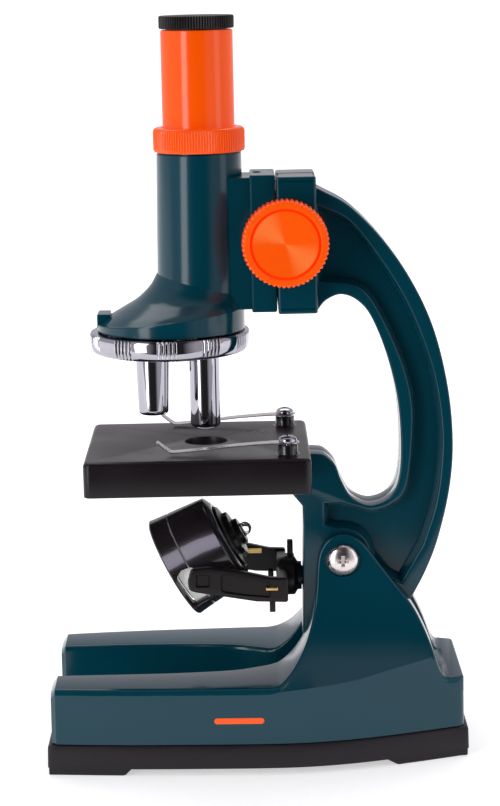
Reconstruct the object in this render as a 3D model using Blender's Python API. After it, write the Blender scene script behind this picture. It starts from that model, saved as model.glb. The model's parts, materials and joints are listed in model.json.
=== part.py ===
"""Toy compound microscope with a tilting arm, turret nosepiece and battery lamp.

Frame: +Z up, floor at z = 0, origin under the middle of the base. The arm and the
focus knobs are on the +X side, and the stage and the open end of the base on -X.
All sizes below are millimetres. MM turns them into metres when a mesh is made.
"""
from math import acos, cos, pi, radians, sin, tan

import bmesh
import bpy
import numpy as np

MM = 0.001
GAP = 0.3                         # clearance left between faces that touch

# Base: a black tray with feet under a shell with two legs and two ears
FOOT_H = 2.0
TRAY_TOP = 9.3
SHELL_LOW = TRAY_TOP + GAP
LEG_TOP = 26.6
DECK_TOP = 25.0                   # low deck behind the ears
SHELL_WALL = 1.8
TRAY_LIP = 1.4                    # how far the tray stands out around the shell
BASE_FRONT, BASE_REAR = -62.75, 62.75
LEG_WIDTHS = [(-62.75, 30.2), (-48, 31.7), (-34, 32.7), (-18, 33.4), (1, 34.0),
              (14, 33.6), (26, 31.8), (38, 28.7), (50, 24.8), (62.75, 20.2)]
LEG_GAPS = [(-62.75, 15.0), (-34, 15.0), (-20, 14.4), (-7, 12.8), (0, 9.8), (5, 7.5), (8, 7.3)]
EAR_INNER = 7.3                   # half the slot that the arm stands in
EAR_OUTER = 10.0
EAR_HIGH = 67.6
EAR_EDGE = [(4.5, 25.6), (6.3, 26.6), (10.7, 30.4), (14.3, 35.6), (17.0, 42.3), (18.3, 50.0),
            (18.9, 60.0), (20.2, 63.6), (22.8, 66.4), (26.6, 67.6), (30.4, 66.4), (32.8, 64.6),
            (43.8, 50.6), (47.4, 46.4), (52.6, 36.0), (56.6, 26.0), (57.4, 25.0)]
CREASE = [(1, 25.0), (27, 27.5), (40, 30.0), (54, 32.4)]
FLARE_POWER = 2.6                 # how fast the ear sweeps in above the crease
SLOT_FLOOR = 28.3
BRIDGE_FRONT = 4.0
SCREW_SPOTS = [(-50, 23), (-50, -23), (30, 23.8), (30, -23.8)]

# Battery bay in the base, two AA cells side by side along X
CELL_R, CELL_LONG, CELL_Y = 7.15, 48.4, 7.6
CELL_X, CELL_Z = 33.6, 12.1
BAY = ((6.1, -17.2, 4.3), (60.3, 17.2, 22.2))
BAY_WALL = 0.9
DOOR = ((10.0, -16.4), (57.0, 16.4))

# Tilt pivot of the arm, along Y
PIVOT = (26.6, 0.0, 59.9)
PIVOT_R = 2.0
PIVOT_SEAT = 10.2                 # flat round seat of the screw head and the nut

# Arm: two mirrored halves with an I section, a head block and a shelf under the stage
ARM_HALF = 6.9
SPLIT = 0.15                      # half the seam between the two arm halves
WEB = 2.4
ARM_BACK = [(21.6, 172.9), (30.1, 167.9), (39.8, 157.9), (48.7, 144.8), (55.3, 130.0),
            (59.5, 112.0), (60.9, 95.0), (59.7, 80.1), (56.2, 65.1), (52.4, 55.0), (48.3, 47.0)]
ARM_BOTTOM = [(43.5, 41.0), (36.0, 36.4), (26.0, 33.6), (14.1, 33.6)]
ARM_BOW = [(20.1, 136.4), (22.8, 139.5), (27.3, 141.2), (32.3, 139.2), (36.7, 133.5),
           (41.6, 120.3), (44.5, 105.4), (44.8, 88.0), (42.1, 78.9), (35.7, 75.8),
           (29.9, 78.3), (26.6, 84.0), (24.9, 88.6), (21.6, 91.8), (18.6, 92.4)]
SHELF = [(-2.0, 92.4), (-2.0, 90.4), (7.3, 85.1), (14.7, 76.0), (14.8, 70.0)]
POCKET_BACK = [(23.7, 166.9), (30.1, 163.3), (39.9, 150.6), (47.0, 138.5), (52.0, 126.4),
               (55.6, 113.8), (57.4, 100.0), (57.2, 88.0), (55.4, 75.7), (51.4, 63.0)]
POCKET_BOW = [(35.8, 73.9), (41.4, 75.7), (46.6, 81.5), (48.7, 101.3), (47.4, 114.0),
              (43.1, 126.6), (36.5, 139.6), (31.0, 144.0), (22.4, 145.2)]
PIVOT_BOSS = 9.0
HEAD = ((8.3, 136.4), (20.1, 177.5))
HEAD_HALF = 12.8
HEAD_CAVITY = ((9.1, 138.0), (18.6, 176.0))
HEAD_MOUTH = 7.0                  # half the opening in the head's front wall
ARM_SCREWS = [(32.0, 153.0), (52.8, 106.0), (46.0, 68.0)]

# Stage with its slide clips
STAGE = ((-50.7, -30.5, 85.1), (17.0, 30.5, 95.8))
STAGE_TOP_THICK = 3.0
STAGE_WALL = 2.2
STAGE_HOLE_R = 6.5
WING = ((-2.0, 89.2), (14.5, 92.4))
WING_HALF = 14.0
CLIP_AT = (10.2, 22.0)
POST_R, POST_TOP = 3.0, 97.9
CLIP_LINE = [(13.4, 98.35), (6.0, 98.4), (-5.0, 98.0), (-15.0, 97.1), (-22.0, 96.5),
             (-25.0, 96.4), (-29.0, 99.6)]
CLIP_THICK = 0.45
CLIP_WIDE = 5.0
CLIP_SPLAY = 3.5                  # degrees that each clip is turned towards +Y

# Optical tube and its carriage
AXIS_X = -14.5
TUBE_REAR = -1.8                  # every ring of the flare touches this line
TUBE_RINGS = [(131.0, 131.0, 22.5), (133.4, 138.2, 22.5), (135.4, 139.6, 20.5),
              (138.1, 141.6, 18.2), (140.6, 143.2, 16.2), (145.3, 146.8, 14.0),
              (150.5, 151.0, 13.1), (184.4, 184.4, 12.8)]
TUBE_BORE = 11.1
SPIGOT_R, SPIGOT_TOP = 12.2, 190.0
LIGHT_BORE = 8.0
BLOCK = ((0.4, -10.8, 136.8), (8.0, 10.8, 178.0))
TONGUE_X, TONGUE_Z = 16.0, (140.6, 164.4)
TONGUE_Y = (4.6, 6.6)
COLLAR_R, COLLAR_Z = 13.8, (184.7, 192.0)
DRAW_R, DRAW_BORE, DRAW_Z = 10.8, 9.3, (165.0, 220.8)
EYE_R, EYE_Z = 11.24, (221.1, 225.0)

# Focus drive
SHAFT = (10.6, 0.0, 158.5)
SHAFT_R = 1.25
FOCUS_DOWN, FOCUS_UP = 2.0, 11.0
MODULE, TEETH = 0.5, 12
PRESSURE = radians(20)
BACKLASH = 0.15
RACK_ADDENDUM = 0.33
KNOB_R, KNOB_Y = 13.0, (13.2, 23.0)

# Nosepiece
TURRET = (-24.8, 0.0, 124.1)
TURRET_R, TURRET_TOP, TURRET_WEB = 24.4, 130.6, 127.1
LENS_CIRCLE = 10.3
OBJECTIVES = {"long": (0, 100.3, 4.65, 4.65), "medium": (240, 107.5, 4.85, 4.2),
              "short": (120, 115.5, 4.85, 4.3)}

# Illuminator: a drum with a mirror on one face and a lamp on the other, in a fork
FORK_AXIS = (8.0, 0.0, 52.5)
DRUM_PIVOT = (-16.4, 0.0, 56.5)
DRUM_LEAN = radians(28.5)
DRUM_FRONT = (-25.4, 0.0, 55.7)   # centre of the mirror end
DRUM_LONG = 18.8
DRUM_MIRROR_R, DRUM_LAMP_R = 16.35, 14.2
FORK_Y = (17.2, 19.4)
FORK_BAR_X = (6.4, 9.6)

COLOURS = {                       # base colour, roughness, metallic
    "teal": ((0.005, 0.052, 0.070), 0.22, 0.0),
    "orange": ((1.0, 0.130, 0.004), 0.30, 0.0),
    "black": ((0.016, 0.014, 0.015), 0.38, 0.0),
    "chrome": ((0.78, 0.78, 0.80), 0.10, 1.0),
    "steel": ((0.58, 0.57, 0.55), 0.28, 1.0),
    "brass": ((0.75, 0.52, 0.20), 0.30, 1.0),
    "white": ((0.80, 0.80, 0.78), 0.40, 0.0),
    "glass": ((0.85, 0.92, 0.95), 0.03, 0.0),
    "mirror": ((0.90, 0.90, 0.92), 0.03, 1.0),
    "rubber": ((0.30, 0.02, 0.02), 0.55, 0.0),
}
TURN_AXES = {"X": np.eye(3)[[1, 2, 0]], "Y": np.eye(3)[[2, 0, 1]], "Z": np.eye(3)}
DOWN = np.array([(1, 0, 0), (0, -1, 0), (0, 0, -1)])
DRUM_AXES = np.array([(-sin(DRUM_LEAN), 0, cos(DRUM_LEAN)), (0, -1, 0),
                      (cos(DRUM_LEAN), 0, sin(DRUM_LEAN))])

# Each body's joint centre and the body that carries it
BODIES = {
    "base": ((0, 0, 0), None),
    "arm": (PIVOT, "base"),
    "clip_near": ((CLIP_AT[0], -CLIP_AT[1], POST_TOP), "arm"),
    "clip_far": ((CLIP_AT[0], CLIP_AT[1], POST_TOP), "arm"),
    "carriage": ((AXIS_X, 0, 158.5), "arm"),
    "focus": (SHAFT, "arm"),
    "turret": (TURRET, "carriage"),
    "collar": ((AXIS_X, 0, COLLAR_Z[0]), "carriage"),
    "drawtube": ((AXIS_X, 0, DRAW_Z[0]), "carriage"),
    "eyepiece": ((AXIS_X, 0, EYE_Z[0]), "drawtube"),
    "fork": (FORK_AXIS, "arm"),
    "lamp": (DRUM_PIVOT, "fork"),
}


def clear_scene():
    for item in list(bpy.data.objects):
        bpy.data.objects.remove(item, do_unlink=True)


def make_material(name):
    """One Principled material in a named finish."""
    colour, roughness, metallic = COLOURS[name]
    material = bpy.data.materials.new(name)
    material.use_nodes = True
    shader = material.node_tree.nodes["Principled BSDF"]
    shader.inputs["Base Color"].default_value = (*colour, 1.0)
    shader.inputs["Roughness"].default_value = roughness
    shader.inputs["Metallic"].default_value = metallic
    return material


def body_empties():
    """An empty on each joint's axis, parented as the bodies are."""
    empties = {}
    for name, (centre, parent) in BODIES.items():
        empty = bpy.data.objects.new(name + "_joint", None)
        bpy.context.collection.objects.link(empty)
        above = BODIES[parent][0] if parent else (0, 0, 0)
        empty.location = [(a - b) * MM for a, b in zip(centre, above)]
        empty.parent = empties.get(parent)
        empties[name] = empty
    return empties


def solid(points, faces):
    """A working object with outward faces, from points in millimetres."""
    mesh = bpy.data.meshes.new("solid")
    mesh.from_pydata((np.asarray(points, float) * MM).tolist(), [], faces)
    work = bmesh.new()
    work.from_mesh(mesh)
    bmesh.ops.recalc_face_normals(work, faces=work.faces)
    work.to_mesh(mesh)
    work.free()
    item = bpy.data.objects.new("solid", mesh)
    bpy.context.collection.objects.link(item)
    return item


def skin(rings, ring_shaped=False):
    """Walls through rings of equal length; a ring-shaped solid has no end caps."""
    count, total = len(rings[0]), len(rings)
    faces = []
    for i in range(total if ring_shaped else total - 1):
        low, high = i * count, (i + 1) % total * count
        for j in range(count):
            k = (j + 1) % count
            faces.append((low + j, low + k, high + k, high + j))
    if not ring_shaped:
        faces.append(tuple(range(count)))
        faces.append(tuple(range((total - 1) * count, total * count)))
    return solid(np.concatenate([np.asarray(r, float) for r in rings]), faces)


def turned(profile, centre=(0, 0, 0), axis="Z", segments=24, bored=False):
    """A (radius, height) profile turned about an axis through centre."""
    axes = TURN_AXES[axis] if isinstance(axis, str) else axis
    angle = np.linspace(0, 2 * pi, segments, endpoint=False)
    rings = []
    for radius, height in profile:
        local = np.stack([radius * np.cos(angle), radius * np.sin(angle),
                          np.full(segments, height)], axis=1)
        rings.append(local @ axes + np.asarray(centre, float))
    return skin(rings, bored)


def prism(outline, low, high, axis="Y"):
    """An outline carried straight along an axis; it is (x, z), (x, y) or (y, z)."""
    rings = []
    for along in (low, high):
        ring = np.insert(np.asarray(outline, float), "XYZ".index(axis), along, axis=1)
        rings.append(ring)
    return skin(rings)


def block(low, high):
    return prism([(low[0], low[1]), (high[0], low[1]), (high[0], high[1]), (low[0], high[1])],
                 low[2], high[2], "Z")


def rod(radius, low, high, centre, axis="Y", segments=16):
    return turned([(radius, low), (radius, high)], centre, axis, segments)


def apply_modifiers(item):
    """Replace an object's mesh with its evaluated mesh."""
    graph = bpy.context.evaluated_depsgraph_get()
    mesh = bpy.data.meshes.new_from_object(item.evaluated_get(graph))
    item.modifiers.clear()
    item.data = mesh
    return item


def combine(item, others, operation):
    """Join to or cut from an object each of the others, which are then removed."""
    for other in others:
        modifier = item.modifiers.new("combine", "BOOLEAN")
        modifier.operation = operation
        modifier.solver = "EXACT"
        modifier.object = other
        apply_modifiers(item)
        bpy.data.objects.remove(other, do_unlink=True)
    return item


def join(item, *others):
    return combine(item, others, "UNION")


def cut(item, *others):
    return combine(item, others, "DIFFERENCE")


def soften(item, width, segments=2, angle=50):
    """Round the edges that are sharper than an angle."""
    modifier = item.modifiers.new("round", "BEVEL")
    modifier.width = width * MM
    modifier.segments = segments
    modifier.limit_method = "ANGLE"
    modifier.angle_limit = radians(angle)
    return apply_modifiers(item)


def curve_points(points, steps=3):
    """Points along a smooth curve through the given points (Catmull-Rom)."""
    p = np.asarray(points, float)
    p = np.vstack([2 * p[0] - p[1], p, 2 * p[-1] - p[-2]])
    t = np.linspace(0, 1, steps, endpoint=False)[:, None]
    spans = [0.5 * (2 * b + (c - a) * t + (2 * a - 5 * b + 4 * c - d) * t ** 2
                    + (3 * b - a - 3 * c + d) * t ** 3)
             for a, b, c, d in zip(p, p[1:], p[2:], p[3:])]
    return np.vstack(spans + [p[-2:-1]])


def arc(centre, radius, start, end, steps):
    """Points on a round stretch, with its angles in degrees."""
    angle = np.radians(np.linspace(start, end, steps))
    return np.stack([centre[0] + radius * np.cos(angle), centre[1] + radius * np.sin(angle)], 1)


def along_line(points, x):
    """Height of a smooth line through points, at x."""
    fine = curve_points(points, 6)
    return np.interp(x, fine[:, 0], fine[:, 1])


# ---------------------------------------------------------------- base

def flare_y(z, wall, crease):
    """Half-width of an ear's outer face at height z, sweeping in from the side wall."""
    t = np.clip((EAR_HIGH - z) / (EAR_HIGH - crease), 0, 1)
    return EAR_OUTER + (wall - EAR_OUTER) * t ** FLARE_POWER


def shell_section(x, inset):
    """One half's outline in the YZ plane at x, drawn in by inset."""
    wall = along_line(LEG_WIDTHS, x) - inset
    inner = along_line(LEG_GAPS, min(x, 8.0)) + inset
    if x <= EAR_EDGE[0][0] or x >= EAR_EDGE[-1][0]:
        top = (LEG_TOP if x <= EAR_EDGE[0][0] else DECK_TOP) - inset
        crease = top - 1.5
        heights = np.linspace(crease, top - 0.1, 7)
        outers = wall - 1.6 * np.linspace(0, 1, 7) ** 2.5
    else:
        top = np.interp(x, *np.array(EAR_EDGE).T) - inset
        crease = min(along_line(CREASE, x) - inset, top - 1.4)
        heights = crease + (top - crease) * np.linspace(0, 1, 7) ** 1.3
        outers = flare_y(heights, wall, crease)
    bottom = SHELL_LOW - (inset > 0) * 2.0
    outline = [(inner, bottom), (wall + 0.7, bottom)]
    outline += list(zip(outers, heights)) + [(inner, top)]
    return [(x, y, z) for y, z in outline]


def shell_half(side, inset=0.0):
    """The solid of one leg and ear."""
    ends = [(0.0, 1.6), (0.5, 0.7), (1.6, 0.0)]
    stations = [(BASE_FRONT + inset + step, draw) for step, draw in ends]
    stations += [(x, 0.0) for x in (-48, -34, -18, -7, 0, 4.5, 6.3, 8.5, 10.7, 12.5, 14.3, 15.8,
                                    17.0, 18.3, 18.9, 20.2, 22.8, 26.6, 30.4, 32.8, 38, 43.8,
                                    47.4, 52.6, 56.6, 57.4)]
    stations += [(BASE_REAR - inset - step, draw) for step, draw in reversed(ends)]
    rings = []
    for x, draw in stations:
        ring = np.array(shell_section(x, inset + draw))
        if inset == 0:
            ring[:2, 2] = SHELL_LOW
        ring[:, 1] *= side
        rings.append(ring)
    return skin(rings)


def bay_hollow():
    """Space under the shell: both legs, and the wide bay between them."""
    low = block((BRIDGE_FRONT + SHELL_WALL, -12, SHELL_LOW - 3),
                (BASE_REAR - SHELL_WALL, 12, DECK_TOP - SHELL_WALL))
    return join(hollow_half(1), hollow_half(-1), low)


def hollow_half(side):
    """Inner space of one leg, up to a little below the crease."""
    rings = []
    for x in (BASE_FRONT + SHELL_WALL, -48, -34, -18, -7, 0, 6, 14, 26, 38, 50,
              BASE_REAR - SHELL_WALL):
        wall = along_line(LEG_WIDTHS, x) - SHELL_WALL
        inner = along_line(LEG_GAPS, min(x, 8.0)) + SHELL_WALL
        top = LEG_TOP - SHELL_WALL if x < 6 else DECK_TOP - SHELL_WALL
        outline = [(inner, SHELL_LOW - 3), (wall, SHELL_LOW - 3), (wall - 0.4, top - 2),
                   (wall - 2.4, top), (inner, top)]
        rings.append([(x, side * y, z) for y, z in outline])
    return skin(rings)


def ear_hollow(side):
    """The ear is hollow where its sweep is thick, and opens into the leg below."""
    rings = []
    for x in (16, 20, 26, 32, 38, 44):
        wall = along_line(LEG_WIDTHS, x) - 1.5 * SHELL_WALL
        crease = along_line(CREASE, x)
        heights = np.linspace(crease - 4, 40, 6)
        outers = np.maximum(flare_y(heights + 1.6, wall, crease), EAR_INNER + 4)
        outline = [(EAR_INNER + 2, crease - 4), *zip(outers, heights), (EAR_INNER + 2, 40)]
        rings.append([(x, side * y, z) for y, z in outline])
    return skin(rings)


def base_housing():
    floor = [(BRIDGE_FRONT, SHELL_LOW), (BRIDGE_FRONT, 25.4), (8, SLOT_FLOOR), (50, SLOT_FLOOR),
             (57, DECK_TOP), (BASE_REAR - 1, DECK_TOP), (BASE_REAR, DECK_TOP - 1),
             (BASE_REAR, SHELL_LOW)]
    bridge = cut(prism(floor, -8.4, 8.4), rod(2.6, 20, 35, (21.2, 0, 0), "Z", 10))
    shell = join(shell_half(1), shell_half(-1), bridge)
    cut(shell, bay_hollow(), ear_hollow(1), ear_hollow(-1))
    for x, y in SCREW_SPOTS:
        join(shell, rod(3.2, 4.4, 25.0 if x < 0 else 24.0, (x, y, 0), "Z", 10))
        cut(shell, rod(1.2, 0, 16.0, (x, y, 0), "Z", 8))
    return cut(shell, rod(PIVOT_R + 0.25, -30, 30, PIVOT, "Y", 14),
               rod(5.4, -30, -PIVOT_SEAT, PIVOT, "Y", 20), rod(5.4, PIVOT_SEAT, 30, PIVOT, "Y", 20))


def plan_outline(inset):
    """U-shaped outline of the tray, drawn in by inset."""
    grow = TRAY_LIP - inset
    front, rear = BASE_FRONT - grow, BASE_REAR + grow
    x = np.linspace(front + 1.5, rear - 1.0, 15)
    outer = np.stack([x, along_line(LEG_WIDTHS, x) + grow], 1)
    x = np.array([front + 1.0, -34, -20, -7])
    inner = np.stack([x, along_line(LEG_GAPS, x) - grow], 1)
    near_end = [(BRIDGE_FRONT - grow - 4, 9.0 - grow), (BRIDGE_FRONT - grow, 6.2 - grow)]
    half = [(rear, along_line(LEG_WIDTHS, rear) + grow - 1.2), *outer[::-1],
            (front, outer[0][1] - 1.2), (front, inner[0][1] + 1.0), *inner, *near_end]
    half = np.array(half)
    return np.vstack([half, half[::-1] * (1, -1)])


def foot_pad(rings):
    return skin([[(x, y, z) for x, y in ring] for ring, z in rings])


def front_foot(side):
    """Raised pad under the tip of one leg, with a sloped rear end."""
    def outline(rear):
        x = np.linspace(BASE_FRONT - TRAY_LIP + 0.4, rear, 5)
        outer = np.stack([x, side * (along_line(LEG_WIDTHS, x) + TRAY_LIP - 0.3)], 1)
        inner = np.stack([x, side * (along_line(LEG_GAPS, x) - TRAY_LIP + 0.3)], 1)
        return np.vstack([outer, inner[::-1]])
    return foot_pad([(outline(-40.5), 0.0), (outline(-38.3), FOOT_H + 0.6)])


def rear_foot():
    """Raised pad under the rear, with a sloped front end."""
    def outline(front):
        x = np.linspace(front, BASE_REAR + TRAY_LIP - 0.4, 6)
        y = along_line(LEG_WIDTHS, x) + TRAY_LIP - 0.3
        return np.vstack([np.stack([x, y], 1), np.stack([x, -y], 1)[::-1]])
    return foot_pad([(outline(41.5), 0.0), (outline(37.8), FOOT_H + 0.6)])


def base_tray():
    tray = prism(plan_outline(0.0), FOOT_H, TRAY_TOP, "Z")
    join(tray, front_foot(1), front_foot(-1), rear_foot())
    cut(tray, prism(plan_outline(2.6), 4.0, TRAY_TOP + 2, "Z"),
        block((*DOOR[0], -1), (*DOOR[1], 6)))
    for x, y in SCREW_SPOTS:
        cut(tray, rod(1.6, -1, 6, (x, y, 0), "Z", 8), rod(3.0, -1, 3.0, (x, y, 0), "Z", 12))
    return tray


def battery_door():
    """Plate that closes the bay from below, with a grip rib and a screw hole."""
    (x0, y0), (x1, y1) = DOOR
    door = block((x0 + GAP, y0 + GAP, 2.1), (x1 - GAP, y1 - GAP, 3.8))
    ribs = [block((x, -8, 1.4), (x + 0.8, 8, 2.4)) for x in (16, 18, 20)]
    join(door, *ribs)
    return cut(door, rod(1.5, 0, 5, (53, 0, 0), "Z", 10), rod(2.9, 0, 2.9, (53, 0, 0), "Z", 12))


def battery_box():
    low, high = BAY
    box = block(low, high)
    return cut(box, block((low[0] + BAY_WALL, low[1] + BAY_WALL, low[2] - 1),
                          (high[0] - BAY_WALL, high[1] - BAY_WALL, high[2] - BAY_WALL)),
               rod(2.0, high[2] - 3, high[2] + 1, (21.2, 0, 0), "Z", 10))


def battery_cell(side):
    """AA cell along X, with its button end towards side * X."""
    centre = (CELL_X, side * CELL_Y, CELL_Z)
    half = CELL_LONG / 2
    profile = [(4.5, -half - 0.3), (6.8, -half), (CELL_R, -half + 0.6), (CELL_R, half - 0.8),
               (6.4, half - 0.2), (2.8, half - 0.1), (2.8, half + 1.1)]
    if side < 0:
        profile = [(r, -h) for r, h in profile[::-1]]
    return turned(profile, centre, "X", 12)


def contact_spring(side):
    """Tapered spring at the front of the bay, as a plain cup."""
    profile = [(4.4, 7.2), (4.4, 7.5), (2.6, 8.0), (2.0, 8.0), (3.8, 7.2)]
    return turned(profile, (0, side * CELL_Y, CELL_Z), "X", 8, True)


def contact_plate():
    return block((59.0, -12.5, 7.5), (59.3, 12.5, 17.0))


def lead(points, radius=1.0):
    """Twin lead of the lamp, as one sleeve along a route in the middle plane."""
    route = curve_points(points, 4)
    tangent = np.gradient(route, axis=0)
    tangent /= np.linalg.norm(tangent, axis=1)[:, None]
    angle = np.linspace(0, 2 * pi, 8, endpoint=False)
    rings = []
    for (x, z), (tx, tz) in zip(route, tangent):
        rings.append(np.stack([x - radius * tz * np.cos(angle), radius * np.sin(angle),
                               z + radius * tx * np.cos(angle)], 1))
    return skin(rings)


def pan_screw(head_r, head_h, shank_r, shank_h, centre, axes, slots=2, segments=16):
    """Domed screw with a cross recess; its head rises from centre along the axis."""
    dome = [(head_r * cos(a), head_h * (0.25 + 0.75 * sin(a)))
            for a in np.radians((0, 35, 68))]
    screw = turned([(shank_r, -shank_h), (shank_r, 0.1), (head_r * 0.96, 0.1), *dome],
                   centre, axes, segments)
    for turn in range(slots):
        wide, long = (0.16, 0.55) if turn else (0.55, 0.16)
        corners = [(a * head_r * wide, b * head_r * long) for a, b in
                   ((1, 1), (-1, 1), (-1, -1), (1, -1))]
        rings = [np.array([(a, b, h) for a, b in corners]) @ axes + np.asarray(centre)
                 for h in (head_h * 0.45, head_h * 1.3)]
        cut(screw, skin(rings))
    return screw


def tray_screw(x, y):
    return pan_screw(2.6, 0.8, 1.0, 11.0, (x, y, 2.95), DOWN, 0, 8)


def door_screw():
    return pan_screw(2.5, 0.7, 1.1, 1.2, (53, 0, 2.8), DOWN, 0, 10)


def pivot_screw():
    near = np.array([(1, 0, 0), (0, 0, 1), (0, -1, 0)])
    return pan_screw(4.85, 3.4, PIVOT_R, 23.4, (PIVOT[0], -PIVOT_SEAT - GAP, PIVOT[2]), near, 2, 16)


def pivot_nut():
    return turned([(PIVOT_R + 0.3, 10.5), (3.9, 10.5), (3.9, 12.9), (PIVOT_R + 0.3, 12.9)],
                  PIVOT, "Y", 6, True)


# ---------------------------------------------------------------- arm and stage

def arm_outline():
    """Side outline of the arm: back, foot, column front, shelf and inner bow."""
    return np.vstack([[(12.0, 174.5), (20.4, 174.0)], curve_points(ARM_BACK, 2),
                      curve_points(ARM_BOTTOM, 2), SHELF[::-1], curve_points(ARM_BOW[::-1], 2),
                      [(12.0, 136.4)]])


def pocket_outline():
    """The recess in the arm's side, which stops short of the pivot boss."""
    boss = arc((PIVOT[0], PIVOT[2]), PIVOT_BOSS, -25, 105, 7)
    column = [(21.4, 70.0), (21.4, 76.6), (26.4, 76.8)]
    return np.vstack([curve_points(POCKET_BACK, 2), [(44.8, 51.5)], boss, column,
                      curve_points(POCKET_BOW, 2), [(22.4, 166.0)]])


def arm_half(side):
    def span(low, high):
        return sorted((side * low, side * high))
    (hx0, hz0), (hx1, hz1) = HEAD
    (cx0, cz0), (cx1, cz1) = HEAD_CAVITY
    (wx0, wz0), (wx1, wz1) = WING
    half = prism(arm_outline(), *span(SPLIT, ARM_HALF))
    head = prism([(hx0, hz0), (hx1 - 1, hz0), (hx1, hz0 + 1), (hx1, hz1 - 1.5), (hx1 - 1.5, hz1),
                  (hx0, hz1)], *span(SPLIT, HEAD_HALF))
    wing = prism([(wx0, wz0), (wx1, wz0), (wx1, wz1), (wx0, wz1)], *span(SPLIT, WING_HALF))
    join(half, head, wing)
    cut(half, prism(pocket_outline(), *span(WEB, ARM_HALF + 20)))
    inner = prism([(cx0, cz0), (cx1, cz0), (cx1, cz1), (cx0, cz1)], *span(-1, HEAD_HALF - 1.5))
    mouth = prism([(hx0 - 5, cz0), (cx0 + 1, cz0), (cx0 + 1, cz1), (hx0 - 5, cz1)],
                  *span(-1, HEAD_MOUTH))
    channel = prism([(16.2, 35.0), (19.6, 35.0), (19.6, 86.0), (16.2, 86.0)], *span(-1, 1.9))
    cut(half, inner, mouth, channel, rod(SHAFT_R + 0.2, -30, 30, SHAFT),
        rod(PIVOT_R + 0.25, -30, 30, PIVOT), rod(3.3, 10, 22, (0, 0, FORK_AXIS[2]), "X"),
        rod(5.0, 18.4, 21.6, (0, 0, FORK_AXIS[2]), "X"))
    for x, z in ARM_SCREWS:
        cut(half, rod(1.2, -2.0, 20, (x, 0, z), "Y", 8))
    cut(half, rod(1.5, 80, 95, (6, side * 10, 0), "Z", 8))
    return half


def arm_screw(x, z):
    far = np.array([(1, 0, 0), (0, 0, -1), (0, 1, 0)])
    return pan_screw(2.2, 1.4, 1.0, 4.0, (x, WEB + GAP, z), far, 0, 8)


def stage():
    (x0, y0, z0), (x1, y1, z1) = STAGE
    plate = soften(block(*STAGE), 1.6, 2)
    inner_top = z1 - STAGE_TOP_THICK
    cut(plate, block((x0 + STAGE_WALL, y0 + STAGE_WALL, z0 - 1),
                     (x1 - STAGE_WALL, y1 - STAGE_WALL, inner_top)),
        block((x1 - 5, -7.3, z0 - 1), (x1 + 1, 7.3, inner_top)),
        rod(STAGE_HOLE_R, z0, z1 + 5, (AXIS_X, 0, 0), "Z", 24))
    for side in (1, -1):
        x, y = CLIP_AT
        join(plate, turned([(POST_R, z1 - 1), (POST_R, POST_TOP - 0.3), (POST_R - 0.3, POST_TOP)],
                           (x, side * y, 0), "Z", 16))
        cut(plate, rod(1.5, z0, 94.6, (6, side * 10, 0), "Z", 8),
            rod(1.3, z0, POST_TOP + 1, (CLIP_AT[0], side * CLIP_AT[1], 0), "Z", 8))
    return plate


def stage_screw(side):
    return pan_screw(2.4, 1.3, 1.1, 5.2, (6, side * 10, 88.9), DOWN, 0, 8)


def clip_screw(side):
    x, y = CLIP_AT
    return pan_screw(3.1, 2.5, 1.05, 6.0, (x, side * y, 99.0), np.eye(3), 1, 12)


def clip_strip(side):
    """Sprung strip from its post to a turned-up tip, swung a little on the post."""
    line = curve_points(CLIP_LINE, 2)
    x, y = CLIP_AT
    rings = []
    for px, pz in line:
        half = CLIP_WIDE / 2 * (1.0 if px > 5 else 0.85)
        if px > 13:
            half *= 0.7
        ring = [(px, y0, pz + t) for y0, t in ((-half, 0), (half, 0), (half, CLIP_THICK),
                                               (-half, CLIP_THICK))]
        rings.append(ring)
    strip = cut(skin(rings), rod(1.35, 90, 105, (x, 0, 0), "Z", 10))
    turn = radians(-CLIP_SPLAY)
    for vertex in strip.data.vertices:
        dx, dy = vertex.co.x - x * MM, vertex.co.y
        vertex.co.x = x * MM + dx * cos(turn) - dy * sin(turn)
        vertex.co.y = side * y * MM + dx * sin(turn) + dy * cos(turn)
    return strip


# ---------------------------------------------------------------- tube and focus

def flare(inset, rings_used=None):
    """Tube that opens into the round head; every ring shares its rearmost line."""
    rings = []
    angle = np.linspace(0, 2 * pi, 26, endpoint=False)
    for front_z, rear_z, radius in TUBE_RINGS[:rings_used]:
        centre = TUBE_REAR - radius
        x = centre + (radius - inset) * np.cos(angle)
        share = (x - (centre - radius)) / (2 * radius)
        z = front_z + (rear_z - front_z) * share - (inset if front_z > 131 else 2 * inset)
        rings.append(np.stack([x, (radius - inset) * np.sin(angle), z], 1))
    return skin(rings)


def tongue(side):
    """Rail that slides in the arm's head, with a hook behind its front wall."""
    low, high = TONGUE_Z
    rail = block((7.0, TONGUE_Y[0], low), (TONGUE_X, TONGUE_Y[1], high))
    hook = block((9.5, TONGUE_Y[1] - 0.4, low), (11.4, 8.8, high))
    join(rail, hook)
    for vertex in rail.data.vertices:
        vertex.co.y *= side
    if side < 0:
        rail.data.flip_normals()
    return rail


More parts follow.
